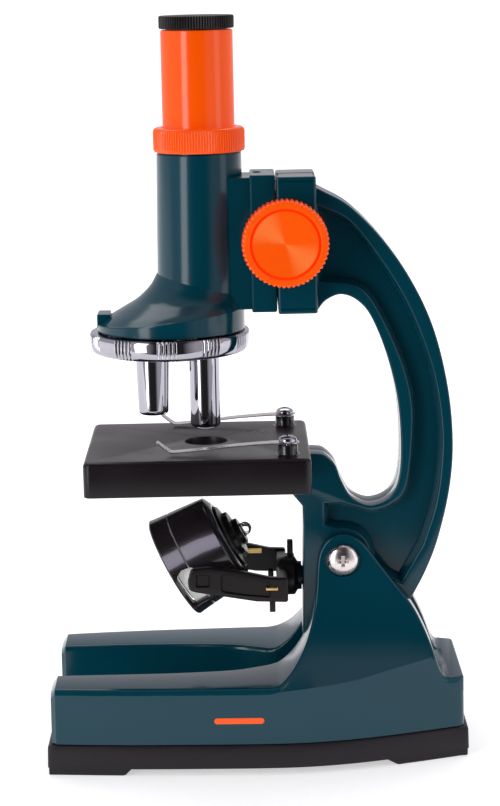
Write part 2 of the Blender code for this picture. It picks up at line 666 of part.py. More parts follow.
def body_tube():
    low, high = BLOCK
    tube = flare(0.0)
    tab = block((-46.6, -4.6, 132.5), (-42.6, 4.6, 136.4))
    neck = block((-8, -9.6, 137.6), (low[0] + 1, 9.6, 177.2))
    carriage = soften(block(low, high), 0.8, 1)
    join(tube, rod(SPIGOT_R, 180, SPIGOT_TOP, (AXIS_X, 0, 0), "Z", 24), tab, neck, carriage)
    hollow = cut(flare(2.0, rings_used=6), rod(LIGHT_BORE + 1.3, 120, 160, (AXIS_X, 0, 0), "Z", 20),
                 rod(4.6, 120, 160, (TURRET[0], 0, 0), "Z", 14))
    cut(tube, hollow)
    join(tube, rod(4.2, 128.9, 133, (TURRET[0], 0, 0), "Z", 14), tongue(1), tongue(-1))
    shaft_room = block((SHAFT[0] - 1.6, -12, SHAFT[2] - FOCUS_UP - 1.6),
                       (SHAFT[0] + 1.6, 12, SHAFT[2] + FOCUS_DOWN + 1.6))
    top_slot = prism(np.vstack([arc((2.6, 0), 1.6, 0, 360, 13)[:-1]]), 168, 190, "Z")
    return cut(tube, rod(TUBE_BORE, 163, 200, (AXIS_X, 0, 0), "Z", 24),
               rod(LIGHT_BORE, 120, 170, (AXIS_X, 0, 0), "Z", 20),
               rod(2.0, 120, 136.5, (TURRET[0], 0, 0), "Z", 12),
               block((4.6, -3.6, 140), (9, 3.6, 166.5)), shaft_room, top_slot)


def pinion_outline():
    """Involute teeth, with straight flanks below the base circle."""
    pitch_r = MODULE * TEETH / 2
    base_r = pitch_r * cos(PRESSURE)
    half = (pi * MODULE / 2 - BACKLASH) / 2 / pitch_r + tan(PRESSURE) - PRESSURE
    flank = [(2.3, half)]
    for radius in (base_r, pitch_r, 3.25, 3.5):
        slant = acos(min(1.0, base_r / radius))
        flank.append((radius, half - tan(slant) + slant))
    points = []
    for tooth in range(TEETH):
        centre = pi + 2 * pi * tooth / TEETH
        for radius, angle in flank:
            points.append((radius * cos(centre - angle), radius * sin(centre - angle)))
        for radius, angle in flank[::-1]:
            points.append((radius * cos(centre + angle), radius * sin(centre + angle)))
    return [(SHAFT[0] + a, SHAFT[2] + b) for a, b in points]


def rack_outline():
    """Straight-sided teeth facing the pinion, with a gap level with its axis at rest."""
    pitch = pi * MODULE
    line = SHAFT[0] - MODULE * TEETH / 2
    half = (pitch / 2 - BACKLASH) / 2
    points = [(4.9, 141.0)]
    for tooth in range(-11, 4):
        middle = SHAFT[2] + (tooth + 0.5) * pitch
        for x, wide in ((-0.6, half + 0.6 * tan(PRESSURE)),
                        (RACK_ADDENDUM, half - RACK_ADDENDUM * tan(PRESSURE))):
            points.append((line + x, middle - wide))
        for x, wide in ((RACK_ADDENDUM, half - RACK_ADDENDUM * tan(PRESSURE)),
                        (-0.6, half + 0.6 * tan(PRESSURE))):
            points.append((line + x, middle + wide))
    return points + [(line - 0.6, 165.6), (4.9, 165.6)]


def focus_knob(side):
    """Grip with a rim, a groove and a dished face, open at its back."""
    near, far = KNOB_Y
    profile = [(1.6, far - 1.2), (1.6, near + 0.2), (4.4, near + 0.2), (5.0, far - 2.8),
               (11.2, far - 2.8), (11.6, near + 1.8), (KNOB_R, near + 2.2),
               (KNOB_R, far - 1.0), (12.2, far - 0.1), (10.7, far - 0.1), (10.4, far - 1.0),
               (10.0, far - 0.7)]
    return turned([(r, side * y) for r, y in profile], (SHAFT[0], 0, SHAFT[2]), "Y", 26, True)


# ---------------------------------------------------------------- optics

def objective(name):
    """Tapered lens barrel with a neck that fits its hole in the turret."""
    angle, low, top_r, low_r = OBJECTIVES[name]
    x = TURRET[0] + LENS_CIRCLE * cos(radians(angle))
    y = LENS_CIRCLE * sin(radians(angle))
    profile = [(2.6, 129.2), (3.7, 129.2), (3.7, 123.8), (top_r, 123.8), (top_r, 121.0),
               (low_r, low + 1.0), (low_r - 0.8, low), (1.9, low), (1.9, low + 1.4),
               (2.6, low + 1.4)]
    return turned(profile, (x, y, 0), "Z", 14, True)


def objective_lens(name):
    angle, low, _, _ = OBJECTIVES[name]
    x = TURRET[0] + LENS_CIRCLE * cos(radians(angle))
    y = LENS_CIRCLE * sin(radians(angle))
    return turned([(1.2, low + 1.5), (2.2, low + 1.8), (2.2, low + 2.6), (1.0, low + 3.0)],
                  (x, y, 0), "Z", 8)


def nosepiece():
    x, _, low = TURRET
    rim = TURRET_R - 2.6
    profile = [(2.2, low), (TURRET_R - 1.6, low), (TURRET_R - 0.5, low + 1.2),
               (TURRET_R, TURRET_TOP - 1.2), (TURRET_R - 1.0, TURRET_TOP), (rim, TURRET_TOP),
               (rim, TURRET_WEB), (2.2, TURRET_WEB)]
    disc = turned(profile, (x, 0, 0), "Z", 32, True)
    for angle, _, _, _ in OBJECTIVES.values():
        cut(disc, rod(4.0, 120, 135, (x + LENS_CIRCLE * cos(radians(angle)),
                                      LENS_CIRCLE * sin(radians(angle)), 0), "Z", 16))
    return disc


def eyepiece_barrel():
    low, high = EYE_Z
    profile = [(5.0, high - 1.2), (6.4, high), (EYE_R - 0.5, high), (EYE_R, high - 0.5),
               (EYE_R, low), (9.0, low), (9.0, 200.0), (7.7, 200.0),
               (7.7, high - 2.4), (5.0, high - 2.4)]
    return turned(profile, (AXIS_X, 0, 0), "Z", 22, True)


def lens(radius, low, high, bulge):
    return turned([(radius * 0.5, low - bulge), (radius, low), (radius, high),
                   (radius * 0.5, high + bulge)], (AXIS_X, 0, 0), "Z", 12)


def drawtube():
    low, high = DRAW_Z
    profile = [(DRAW_BORE, low), (DRAW_R, low), (DRAW_R, high - 0.4), (DRAW_R - 0.4, high),
               (DRAW_BORE, high)]
    return turned(profile, (AXIS_X, 0, 0), "Z", 24, True)


def collar():
    low, high = COLLAR_Z
    profile = [(SPIGOT_R + 0.3, low), (COLLAR_R - 0.6, low), (COLLAR_R, low + 0.9),
               (COLLAR_R, high - 1.2), (COLLAR_R - 1.2, high),
               (TUBE_BORE, high), (TUBE_BORE, SPIGOT_TOP + GAP), (SPIGOT_R + 0.3, SPIGOT_TOP + GAP)]
    return turned(profile, (AXIS_X, 0, 0), "Z", 24, True)


# ---------------------------------------------------------------- lamp

def drum_turned(profile, segments=24, bored=False):
    """A profile turned about the drum's axis, with heights from its mirror end."""
    return turned(profile, DRUM_FRONT, DRUM_AXES, segments, bored)


def side_windows():
    """Bites out of the drum's sides behind its mirror rim, where the white liner shows."""
    bite = np.array([(-10.0, 1.4), (1.0, 1.4), (1.6, 4.0), (0.4, 7.6), (-5.0, 9.4), (-10.0, 7.6)])
    outline = bite @ DRUM_AXES[[0, 2]][:, [0, 2]] + np.array(DRUM_FRONT)[[0, 2]]
    return [prism(outline, low, high) for low, high in ((9, 30), (-30, -9))]


def drum_radius(height):
    share = height / DRUM_LONG
    return DRUM_MIRROR_R + (DRUM_LAMP_R - DRUM_MIRROR_R) * share


def lamp_housing():
    """Rear shell of the drum, with a stepped face and a trunnion on each side."""
    seam, back = 6.4, DRUM_LONG
    profile = [(drum_radius(seam) - 1.6, seam), (drum_radius(seam) - 0.15, seam),
               (drum_radius(back), back - 0.8), (drum_radius(back) - 0.8, back), (8.2, back),
               (8.2, back - 1.8), (drum_radius(back) - 1.8, back - 1.8)]
    shell = drum_turned(profile, 20, True)
    pins = [turned([(2.6, 13.2 * side), (2.6, 18.8 * side)], DRUM_PIVOT, "Y", 14)
            for side in (1, -1)]
    return join(cut(shell, *side_windows()), *pins)


def mirror_bezel():
    seam = 6.1
    profile = [(12.2, 0.0), (DRUM_MIRROR_R - 0.5, 0.0), (DRUM_MIRROR_R, 0.5),
               (drum_radius(seam), seam), (14.0, seam), (14.0, 1.6), (13.0, 1.0), (12.2, 1.0)]
    return cut(drum_turned(profile, 20, True), *side_windows())


def mirror_liner():
    """White cup inside the drum that carries the mirror."""
    profile = [(13.6, 1.9), (13.6, 5.0), (12.7, 9.6), (11.9, 9.6), (12.6, 4.0), (11.0, 4.0),
               (11.0, 3.0), (12.8, 3.0), (12.8, 1.9)]
    return drum_turned(profile, 20, True)


def lamp_holder():
    """Stepped cap in the drum's lamp end, with a socket for the lamp."""
    back = DRUM_LONG
    profile = [(2.4, back - 1.4), (7.8, back - 1.4), (7.8, back + 0.2), (10.4, back + 0.3),
               (10.4, back + 1.8), (7.6, back + 2.0), (7.4, back + 3.8), (4.2, back + 4.0),
               (4.0, back + 5.6), (2.4, back + 5.6)]
    return drum_turned(profile, 20, True)


def lamp_bulb():
    back = DRUM_LONG
    return drum_turned([(2.1, back - 0.4), (2.1, back + 6.6), (1.5, back + 8.0),
                        (0.6, back + 8.6)], 12)


def lamp_fork():
    """Two arms on a cross bar, with a hub and a shaft that turns in the column."""
    low, high = FORK_Y
    bar_low, bar_high = FORK_BAR_X
    z = FORK_AXIS[2]
    side = [(bar_high, z - 3.4), (bar_high, z + 4.2), (bar_low - 2, z + 4.4), (-4, z + 6.6),
            (-14.5, z + 7.9), (-19.6, z + 7.4), (-20.6, z + 6.0), (-20.4, z + 1.2),
            (-18.6, z + 0.2), (-8.0, z - 1.6), (0, z - 3.0)]
    fork = prism(side, low, high)
    bar = block((bar_low, -high, z - 3.2), (bar_high, high, z + 3.6))
    hub = turned([(5.0, bar_low + 0.5), (6.0, bar_low + 1.2), (6.0, 12.2), (4.4, 13.0),
                  (4.4, 14.4 - GAP), (3.0, 14.4 - GAP), (3.0, 18.6)], (0, 0, z), "X", 18)
    pegs = [block((10.0, -1.0, z + 4), (11.6, 1.0, z + 11.4)),
            block((4.0, -high, z - 8.6), (5.6, -high + 2.0, z - 2)),
            block((4.0, high - 2.0, z - 8.6), (5.6, high, z - 2))]
    join(fork, prism(side, -high, -low), bar, hub, *pegs)
    return cut(fork, rod(2.85, -30, 30, DRUM_PIVOT, "Y", 14))


def fork_retainer():
    """Snap ring on the inner end of the fork's shaft."""
    return turned([(3.2, 18.9), (4.5, 18.9), (4.5, 20.4), (3.2, 20.4)], (0, 0, FORK_AXIS[2]),
                  "X", 14, True)


def lamp_contact(side):
    """Brass leaf on the inner face of one of the fork's arms."""
    z = FORK_AXIS[2]
    y = side * (FORK_Y[0] - 0.5)
    return block((-12, y - 0.15, z + 3.0), (2.0, y + 0.15, z + 4.6))


# ---------------------------------------------------------------- assembly

def focus_shaft():
    return turned([(SHAFT_R, -21.4), (SHAFT_R, 21.4)], SHAFT, "Y", 12)


def pinion():
    gear = prism(pinion_outline(), -3.2, 3.2)
    return cut(gear, rod(SHAFT_R + 0.25, -5, 5, SHAFT, "Y", 12))


def turret_screw():
    return pan_screw(3.8, 1.6, 1.7, 11.6, (TURRET[0], 0, 123.7), DOWN, 1, 12)


def mirror_glass():
    return drum_turned([(12.6, 1.3), (12.6, 2.7)], 20)


def all_pieces():
    """Name, maker, finish and body of every piece."""
    pieces = [
        ("base_housing", base_housing(), "teal", "base"),
        ("base_tray", base_tray(), "black", "base"),
        ("battery_door", battery_door(), "black", "base"),
        ("battery_box", battery_box(), "black", "base"),
        ("battery_near", battery_cell(-1), "steel", "base"),
        ("battery_far", battery_cell(1), "steel", "base"),
        ("contact_plate", contact_plate(), "steel", "base"),
        ("door_screw", door_screw(), "steel", "base"),
        ("pivot_screw", pivot_screw(), "chrome", "base"),
        ("pivot_nut", pivot_nut(), "steel", "base"),
        ("base_lead", lead([(21.2, 19.9), (21.2, 25.0), (21.4, 31.2)]),
         "rubber", "base"),
        ("arm_half_near", arm_half(-1), "teal", "arm"),
        ("arm_half_far", arm_half(1), "teal", "arm"),
        ("stage", stage(), "black", "arm"),
        ("arm_lead", lead([(17.9, 36), (17.9, 41), (17.9, 46.6)]), "rubber", "arm"),
        ("fork_retainer", fork_retainer(), "steel", "fork"),
        ("body_tube", body_tube(), "teal", "carriage"),
        ("focus_rack", prism(rack_outline(), -3.3, 3.3), "brass", "carriage"),
        ("turret_screw", turret_screw(), "chrome", "carriage"),
        ("focus_shaft", focus_shaft(), "steel", "focus"),
        ("focus_pinion", pinion(), "brass", "focus"),
        ("focus_knob_near", focus_knob(-1), "orange", "focus"),
        ("focus_knob_far", focus_knob(1), "orange", "focus"),
        ("nosepiece", nosepiece(), "chrome", "turret"),
        ("zoom_collar", collar(), "orange", "collar"),
        ("drawtube", drawtube(), "orange", "drawtube"),
        ("eyepiece", eyepiece_barrel(), "black", "eyepiece"),
        ("eye_lens", lens(7.4, 220.2, 221.4, 0.6), "glass", "eyepiece"),
        ("field_lens", lens(7.4, 201.6, 202.8, 0.6), "glass", "eyepiece"),
        ("lamp_fork", lamp_fork(), "black", "fork"),
        ("lamp_housing", lamp_housing(), "black", "lamp"),
        ("mirror_bezel", mirror_bezel(), "black", "lamp"),
        ("mirror_liner", mirror_liner(), "white", "lamp"),
        ("mirror_glass", mirror_glass(), "mirror", "lamp"),
        ("lamp_holder", lamp_holder(), "black", "lamp"),
        ("lamp_bulb", lamp_bulb(), "glass", "lamp"),
    ]
    for word, side in (("near", -1), ("far", 1)):
        pieces += [("contact_spring_" + word, contact_spring(side), "steel", "base"),
                   ("stage_screw_" + word, stage_screw(side), "steel", "arm"),
                   ("lamp_contact_" + word, lamp_contact(side), "brass", "fork"),
                   ("clip_screw_" + word, clip_screw(side), "chrome", "arm"),
                   ("clip_" + word, clip_strip(side), "steel", "clip_" + word)]
    for number, spot in enumerate(SCREW_SPOTS, 1):
        pieces.append((f"tray_screw_{number}", tray_screw(*spot), "steel", "base"))
    for number, spot in enumerate(ARM_SCREWS, 1):
        pieces.append((f"arm_screw_{number}", arm_screw(*spot), "steel", "arm"))
    for name in OBJECTIVES:
        pieces += [("objective_" + name, objective(name), "chrome", "turret"),
                   ("objective_lens_" + name, objective_lens(name), "glass", "turret")]
    return pieces


def main():
    clear_scene()
    empties = body_empties()
    for name, item, finish, body in all_pieces():
        item.name = item.data.name = name
        item.data.materials.clear()
        item.data.materials.append(make_material(finish))
        centre = np.array(BODIES[body][0], float) * MM
        for vertex in item.data.vertices:
            vertex.co -= type(vertex.co)(centre)
        item.parent = empties[body]
        item.data.shade_smooth()
        item.data.set_sharp_from_angle(angle=radians(32))


main()
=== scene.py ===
"""A small toy microscope, finished for close viewing.

Every piece is a surface worked out in millimetres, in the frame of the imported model, and rides on
one of its bodies. Pieces that can't be seen from outside keep their plain solids and get a finish.
"""

import json
from math import acos, cos, pi, radians, sin, tan

import bmesh
import bpy
import numpy as np
from mathutils import Matrix, Vector
from mathutils.geometry import tessellate_polygon


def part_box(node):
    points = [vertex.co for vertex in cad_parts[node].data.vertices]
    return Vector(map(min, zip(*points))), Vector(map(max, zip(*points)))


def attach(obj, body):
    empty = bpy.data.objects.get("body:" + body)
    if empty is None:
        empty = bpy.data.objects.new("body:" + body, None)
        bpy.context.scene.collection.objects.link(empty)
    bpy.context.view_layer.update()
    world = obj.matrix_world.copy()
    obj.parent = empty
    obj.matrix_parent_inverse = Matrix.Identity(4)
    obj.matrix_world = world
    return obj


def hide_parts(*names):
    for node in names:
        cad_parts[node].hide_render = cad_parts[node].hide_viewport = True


bl_info = {
    "name": "Toy microscope",
    "version": (1, 0, 0),
    "blender": (4, 5, 0),
    "location": "View3D > Sidebar > Microscope",
    "description": "Builds the moulded, plated and turned pieces of a small toy microscope",
    "category": "Object",
}

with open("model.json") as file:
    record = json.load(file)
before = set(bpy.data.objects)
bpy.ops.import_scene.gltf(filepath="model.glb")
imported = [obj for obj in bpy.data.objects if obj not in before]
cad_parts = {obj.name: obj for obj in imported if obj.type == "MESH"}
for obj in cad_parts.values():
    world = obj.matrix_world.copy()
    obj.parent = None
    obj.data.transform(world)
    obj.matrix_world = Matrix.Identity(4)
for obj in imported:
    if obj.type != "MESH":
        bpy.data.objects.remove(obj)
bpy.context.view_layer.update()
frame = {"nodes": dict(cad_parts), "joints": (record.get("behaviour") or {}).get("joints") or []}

MM = 0.001
UP = np.eye(3)
NEAR = np.array([(1, 0, 0), (0, 0, 1), (0, -1, 0)])
FAR = np.array([(1, 0, 0), (0, 0, -1), (0, 1, 0)])
REAR = np.array([(0, 1, 0), (0, 0, 1), (1, 0, 0)])
SIDES = ((-1, "near", NEAR), (1, "far", FAR))


def box_of(node):
    """Lowest and highest corner of a solid, in millimetres."""
    low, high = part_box(node)
    return np.array(low) / MM, np.array(high) / MM


def middle_of(node):
    """Middle of a solid's box, in millimetres."""
    low, high = box_of(node)
    return (low + high) / 2


def joint_place(name):
    """Where a joint turns, in millimetres."""
    joint = next(j for j in frame["joints"] if j["name"] == name)
    return np.array(joint["pos_m"]) / MM


TUBE_AXIS = joint_place("collar_turn")[0]
TURRET_AXIS = joint_place("turret_turn")
PIVOT = joint_place("arm_tilt")
KNOB_AXIS = joint_place("focus_turn")
DRUM_PIVOT = joint_place("lamp_turn")
FORK_AXIS = joint_place("fork_turn")


# ---------------------------------------------------------------- outlines

def through(points, steps=6):
    """Catmull-Rom curve: between two points, a cubic whose end slopes are half the chord across
    each point's neighbours."""
    p = np.asarray(points, float)
    p = np.vstack([2 * p[0] - p[1], p, 2 * p[-1] - p[-2]])
    a, b, c, d = (p[k:len(p) - 3 + k, None] for k in range(4))
    t = np.linspace(0, 1, steps, endpoint=False)[None, :, None]
    spans = 0.5 * (2 * b + (c - a) * t + (2 * a - 5 * b + 4 * c - d) * t ** 2
                   + (3 * b - a - 3 * c + d) * t ** 3)
    return np.vstack([spans.reshape(-1, p.shape[1]), p[-2]])


def oblong(x0, y0, x1, y1):
    """Corners of a rectangle, in turn."""
    return [(x0, y0), (x1, y0), (x1, y1), (x0, y1)]


def eased(corners, radius, steps=5):
    """Closed outline whose corners are arcs that touch both their sides.

    An arc's points are centre + (sin((1 - t) w) a + sin(t w) b) / sin(w), for radii a and b that
    are an angle w apart. radius is one number, or one for each corner."""
    corners = np.asarray(corners, float)
    radii = np.broadcast_to(np.asarray(radius, float), len(corners))
    t = np.linspace(0, 1, steps + 1)[:, None]
    stretches = []
    for k, corner in enumerate(corners):
        back, ahead = corners[k - 1] - corner, corners[(k + 1) % len(corners)] - corner
        back, ahead = back / np.linalg.norm(back), ahead / np.linalg.norm(ahead)
        half = acos(np.clip(back @ ahead, -1, 1)) / 2
        if radii[k] == 0 or half > 0.49 * pi:
            stretches.append(corner[None])
            continue
        reach = radii[k] / tan(half)
        across = (back + ahead) / np.linalg.norm(back + ahead)
        centre = corner + across * radii[k] / sin(half)
        start, end = corner + back * reach - centre, corner + ahead * reach - centre
        sweep = pi - 2 * half
        stretches.append(centre + (np.sin((1 - t) * sweep) * start + np.sin(t * sweep) * end)
                         / sin(sweep))
    return np.vstack(stretches)


def drawn_in(outline, distance):
    """A closed outline moved inwards: each corner goes along the mean of its sides' normals, by
    the distance over the cosine of half the turn, up to 1.5 times the distance."""
    along = np.roll(outline, -1, 0) - outline
    along /= np.linalg.norm(along, axis=1, keepdims=True) + 1e-12
    normal = np.stack([-along[:, 1], along[:, 0]], 1)
    x, y = outline.T
    turning = np.sign(np.sum(x * np.roll(y, -1) - y * np.roll(x, -1)))
    mean = normal + np.roll(normal, 1, 0)
    size = np.linalg.norm(mean, axis=1, keepdims=True)
    mean /= np.maximum(size, 1e-9)
    stretch = np.minimum(2 / np.maximum(size, 1e-9), 1.5)
    return outline + mean * stretch * turning * distance


def rounding(radius, steps=4):
    """(inset, drop) pairs of a quarter circle from the top face's edge to the side."""
    angle = np.linspace(0, pi / 2, steps + 1)
    return radius * (1 - np.sin(angle)), radius * (1 - np.cos(angle))


def circle(radius, steps, centre=(0, 0)):
    """Points (radius cos a, radius sin a) round a centre."""
    angle = np.linspace(0, 2 * pi, steps, endpoint=False)
    return np.stack([centre[0] + radius * np.cos(angle), centre[1] + radius * np.sin(angle)], 1)


# ---------------------------------------------------------------- meshes

class Surface:
    """Grids and flat faces that become one mesh."""

    def __init__(self):
        self.points, self.faces, self.smooth, self.count = [], [], [], 0

    def grid(self, grid, wrap_rows=False):
        """Rows of points, each row closed on itself, joined by smooth four-sided faces."""
        rows, columns = grid.shape[:2]
        cell = np.arange(rows * columns).reshape(rows, columns)
        if wrap_rows:
            cell = np.vstack([cell, cell[:1]])
        right = np.roll(cell, -1, 1)
        quads = np.stack([cell[:-1], right[:-1], right[1:], cell[1:]], -1).reshape(-1, 4)
        self._add(grid.reshape(-1, 3), quads, True)
        return self

    def flat(self, *loops):
        """One flat face inside the first loop, with the other loops as its holes."""
        points = np.vstack(loops)
        triangles = tessellate_polygon([[Vector(p) for p in loop] for loop in loops])
        self._add(points, np.array(triangles), False)
        return self

    def _add(self, points, faces, smooth):
        """Takes in faces that count their points from 0."""
        self.points.append(points)
        self.faces.extend((faces + self.count).tolist())
        self.smooth.extend([smooth] * len(faces))
        self.count += len(points)

    def join(self, other):
        """Takes in another surface's grids and faces."""
        self.faces.extend([[k + self.count for k in face] for face in other.faces])
        self.points.extend(other.points)
        self.smooth.extend(other.smooth)
        self.count += other.count
        return self

    def mesh(self, name, sharp=32):
        """Joins equal points, closes the seams, turns every face outwards, and marks the edges that
        turn by more than the sharp angle."""
        data = bpy.data.meshes.new(name)
        data.from_pydata(np.vstack(self.points) * MM, [], self.faces)
        data.polygons.foreach_set("use_smooth", self.smooth)
        work = bmesh.new()
        work.from_mesh(data)
        bmesh.ops.remove_doubles(work, verts=work.verts, dist=2e-6)
        bmesh.ops.dissolve_degenerate(work, edges=work.edges, dist=1e-6)
        bmesh.ops.recalc_face_normals(work, faces=work.faces)
        work.to_mesh(data)
        work.free()
        data.set_sharp_from_angle(angle=radians(sharp))
        return data


def placed(points, axes, centre=(0, 0, 0)):
    """Points in a piece's own axes, moved into the frame."""
    return points @ np.asarray(axes, float) + np.asarray(centre, float)


def turned(profile, centre, axes, segments=96, ribs=None, shares=None, closed=False):
    """Surface of revolution: at angle a, a profile point (r, h) stands at (r cos a, r sin a, h).

    ribs(a) is added to the radius, times the point's share. A closed profile makes a bored piece,
    and an open one starts and ends on the axis."""
    profile = np.asarray(profile, float)
    angle = np.linspace(0, 2 * pi, segments, endpoint=False)
    radius = np.repeat(profile[:, :1], segments, 1)
    if ribs is not None:
        radius = radius + np.asarray(shares, float)[:, None] * ribs(angle)[None]
    height = np.repeat(profile[:, 1:2], segments, 1)
    grid = np.stack([radius * np.cos(angle), radius * np.sin(angle), height], -1)
    return Surface().grid(placed(grid, axes, centre), wrap_rows=closed)


def stack_of(outline, levels, axes):
    """Rows of one outline, each drawn in by an inset and lifted to a height."""
    rows = [np.column_stack([drawn_in(outline, inset), np.full(len(outline), height)])
            for inset, height in levels]
    return placed(np.array(rows), axes)


def plate(outline, low, high, edge, axes=UP, low_edge=None, surface=None, pocket=None):
    """An outline carried from low to high, with rounded edges; pocket is (outline, depth, slope,
    lip), a recess in the high face whose wall slopes in, under a rounded lip."""
    surface = surface or Surface()
    low_edge = edge if low_edge is None else low_edge
    inset, drop = rounding(edge)
    low_inset, low_drop = rounding(low_edge)
    levels = [(i, low + d) for i, d in zip(low_inset, low_drop)]
    levels += [(i, high - d) for i, d in zip(inset[::-1], drop[::-1])]
    wall = stack_of(outline, levels, axes)
    surface.grid(wall).flat(wall[0])
    if pocket is None:
        return surface.flat(wall[-1])
    recess, depth, slope, lip = pocket
    inset, drop = rounding(lip)
    levels = [(-lip + i, high - d) for i, d in zip(lip - inset, drop)]
    foot_drop = rounding(min(0.8, depth / 2))[1][::-1]
    levels += [(slope, high - depth + d) for d in foot_drop]
    sunk = stack_of(recess, levels, axes)
    return surface.grid(sunk).flat(sunk[-1]).flat(wall[-1], sunk[0])


def block(low, high, edge, surface=None):
    """Box with every edge rounded."""
    (x0, y0, z0), (x1, y1, z1) = low, high
    outline = eased(oblong(x0, y0, x1, y1), edge)
    return plate(outline, z0, z1, edge * 0.9, surface=surface)


def sweep(route, section, widths):
    """A closed section carried along a route in the XZ plane, square to it.

    A section point (a, b) stands a times the width along Y, and b along the route's normal."""
    route = np.asarray(route, float)
    slope = np.gradient(route, axis=0)
    slope /= np.linalg.norm(slope, axis=1, keepdims=True)
    rise = np.stack([-slope[:, 1], slope[:, 0]], 1)
    across, lift = np.asarray(section, float).T
    x = route[:, :1] + rise[:, :1] * lift
    z = route[:, 1:] + rise[:, 1:] * lift
    y = np.asarray(widths, float)[:, None] * across[None]
    return np.stack([x, y, z], -1)


def capped(grid):
    """A run of closed rows with a flat face at each end."""
    return Surface().grid(grid).flat(grid[0]).flat(grid[-1])


def add_piece(name, surface, body, finish, replaced=(), sharp=32):
    """Makes the object, gives it its finish and lets it ride on its body."""
    item = bpy.data.objects.new(name, surface.mesh(name, sharp))
    bpy.context.scene.collection.objects.link(item)
    item.data.materials.append(finish)
    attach(item, body)
    if replaced:
        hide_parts(*replaced)
    return item


def carve(item, *cutters):
    """Cuts shapes out of a finished piece for good, and shades the new edges sharp."""
    for surface in cutters:
        tool = bpy.data.objects.new("cutter", surface.mesh("cutter"))
        bpy.context.scene.collection.objects.link(tool)
        step = item.modifiers.new("cut", "BOOLEAN")
        step.operation, step.object, step.solver = "DIFFERENCE", tool, "EXACT"
        step.use_self = True
        bpy.context.view_layer.update()
        graph = bpy.context.evaluated_depsgraph_get()
        result = bpy.data.meshes.new_from_object(item.evaluated_get(graph))
        item.modifiers.clear()
        old, item.data = item.data, result
        bpy.data.meshes.remove(old)
        bpy.data.objects.remove(tool)
    item.data.set_sharp_from_angle(angle=radians(32))
    return item


# ---------------------------------------------------------------- finishes

def nodes_for(name):
    """An empty material with a shader, its output and Object coordinates."""
    finish = bpy.data.materials.new(name)
    finish.use_nodes = True
    tree = finish.node_tree
    tree.nodes.clear()
    out = tree.nodes.new("ShaderNodeOutputMaterial")
    shader = tree.nodes.new("ShaderNodeBsdfPrincipled")
    tree.links.new(shader.outputs["BSDF"], out.inputs["Surface"])
    place = tree.nodes.new("ShaderNodeTexCoord").outputs["Object"]
    return finish, tree, shader, place


def noise(tree, place, scale, detail, stretch=(1, 1, 1)):
    """Noise of a given number of features in a metre, drawn out by a stretch."""
    mapping = tree.nodes.new("ShaderNodeMapping")
    mapping.inputs["Scale"].default_value = stretch
    tree.links.new(place, mapping.inputs["Vector"])
    texture = tree.nodes.new("ShaderNodeTexNoise")
    texture.inputs["Scale"].default_value = scale
    texture.inputs["Detail"].default_value = detail
    tree.links.new(mapping.outputs["Vector"], texture.inputs["Vector"])
    return texture.outputs["Fac"]


def spread(tree, value, low, high, start=0.3, end=0.7):
    """A value between start and end, carried over to low and high and held between them."""
    step = tree.nodes.new("ShaderNodeMapRange")
    for key, number in (("From Min", start), ("From Max", end), ("To Min", low), ("To Max", high)):
        step.inputs[key].default_value = number
    tree.links.new(value, step.inputs["Value"])
    return step.outputs["Result"]


def tint(tree, value, colour, depth):
    """The colour, made darker and lighter by a share of itself."""
    step = tree.nodes.new("ShaderNodeMix")
    step.data_type = "RGBA"
    step.inputs["A"].default_value = (*[c * (1 - depth) for c in colour[:3]], 1)
    step.inputs["B"].default_value = (*[min(1, c * (1 + depth)) for c in colour[:3]], 1)
    tree.links.new(value, step.inputs["Factor"])
    return step.outputs["Result"]


def raised(tree, value, shader, distance, under=None):
    """Bumps of a real height, on top of any others."""
    bump = tree.nodes.new("ShaderNodeBump")
    bump.inputs["Distance"].default_value = distance
    tree.links.new(value, bump.inputs["Height"])
    if under is not None:
        tree.links.new(under, bump.inputs["Normal"])
    tree.links.new(bump.outputs["Normal"], shader.inputs["Normal"])
    return bump.outputs["Normal"]


def moulded(name, colour, roughness, texture, fleck, coat=0.0, specular=0.4, painted_glow=0.0,
            coat_index=1.5):
    """Injection-moulded plastic: slow waves of the mould's polish, fine grain of the texture's
    height, and faint flow that changes the colour by the fleck. Any glow is painted light: an
    emission of the plastic's own colour, though the piece is no lamp."""
    finish, tree, shader, place = nodes_for(name)
    flow = noise(tree, place, 45, 3, (1, 1, 0.5))
    grain = noise(tree, place, 1800, 2)
    waves = noise(tree, place, 160, 1)
    tree.links.new(tint(tree, flow, colour, fleck), shader.inputs["Base Color"])
    tree.links.new(spread(tree, flow, roughness * 0.82, roughness * 1.18),
                   shader.inputs["Roughness"])
    slow = raised(tree, waves, shader, texture * 3)
    raised(tree, grain, shader, texture, slow)
    shader.inputs["Specular IOR Level"].default_value = specular
    shader.inputs["Coat Weight"].default_value = coat
    shader.inputs["Coat Roughness"].default_value = 0.08
    shader.inputs["Coat IOR"].default_value = coat_index
    # Painted light: emission of the finish's own colour, which brightens it though it is no lamp.
    shader.inputs["Emission Color"].default_value = (*colour[:3], 1)
    shader.inputs["Emission Strength"].default_value = painted_glow
    return finish


def maths(tree, operation, value, other=0.0):
    """One step of arithmetic on a value, with a number or another value."""
    step = tree.nodes.new("ShaderNodeMath")
    step.operation = operation
    tree.links.new(value, step.inputs[0])
    if isinstance(other, float):
        step.inputs[1].default_value = other
    else:
        tree.links.new(other, step.inputs[1])
    return step.outputs["Value"]


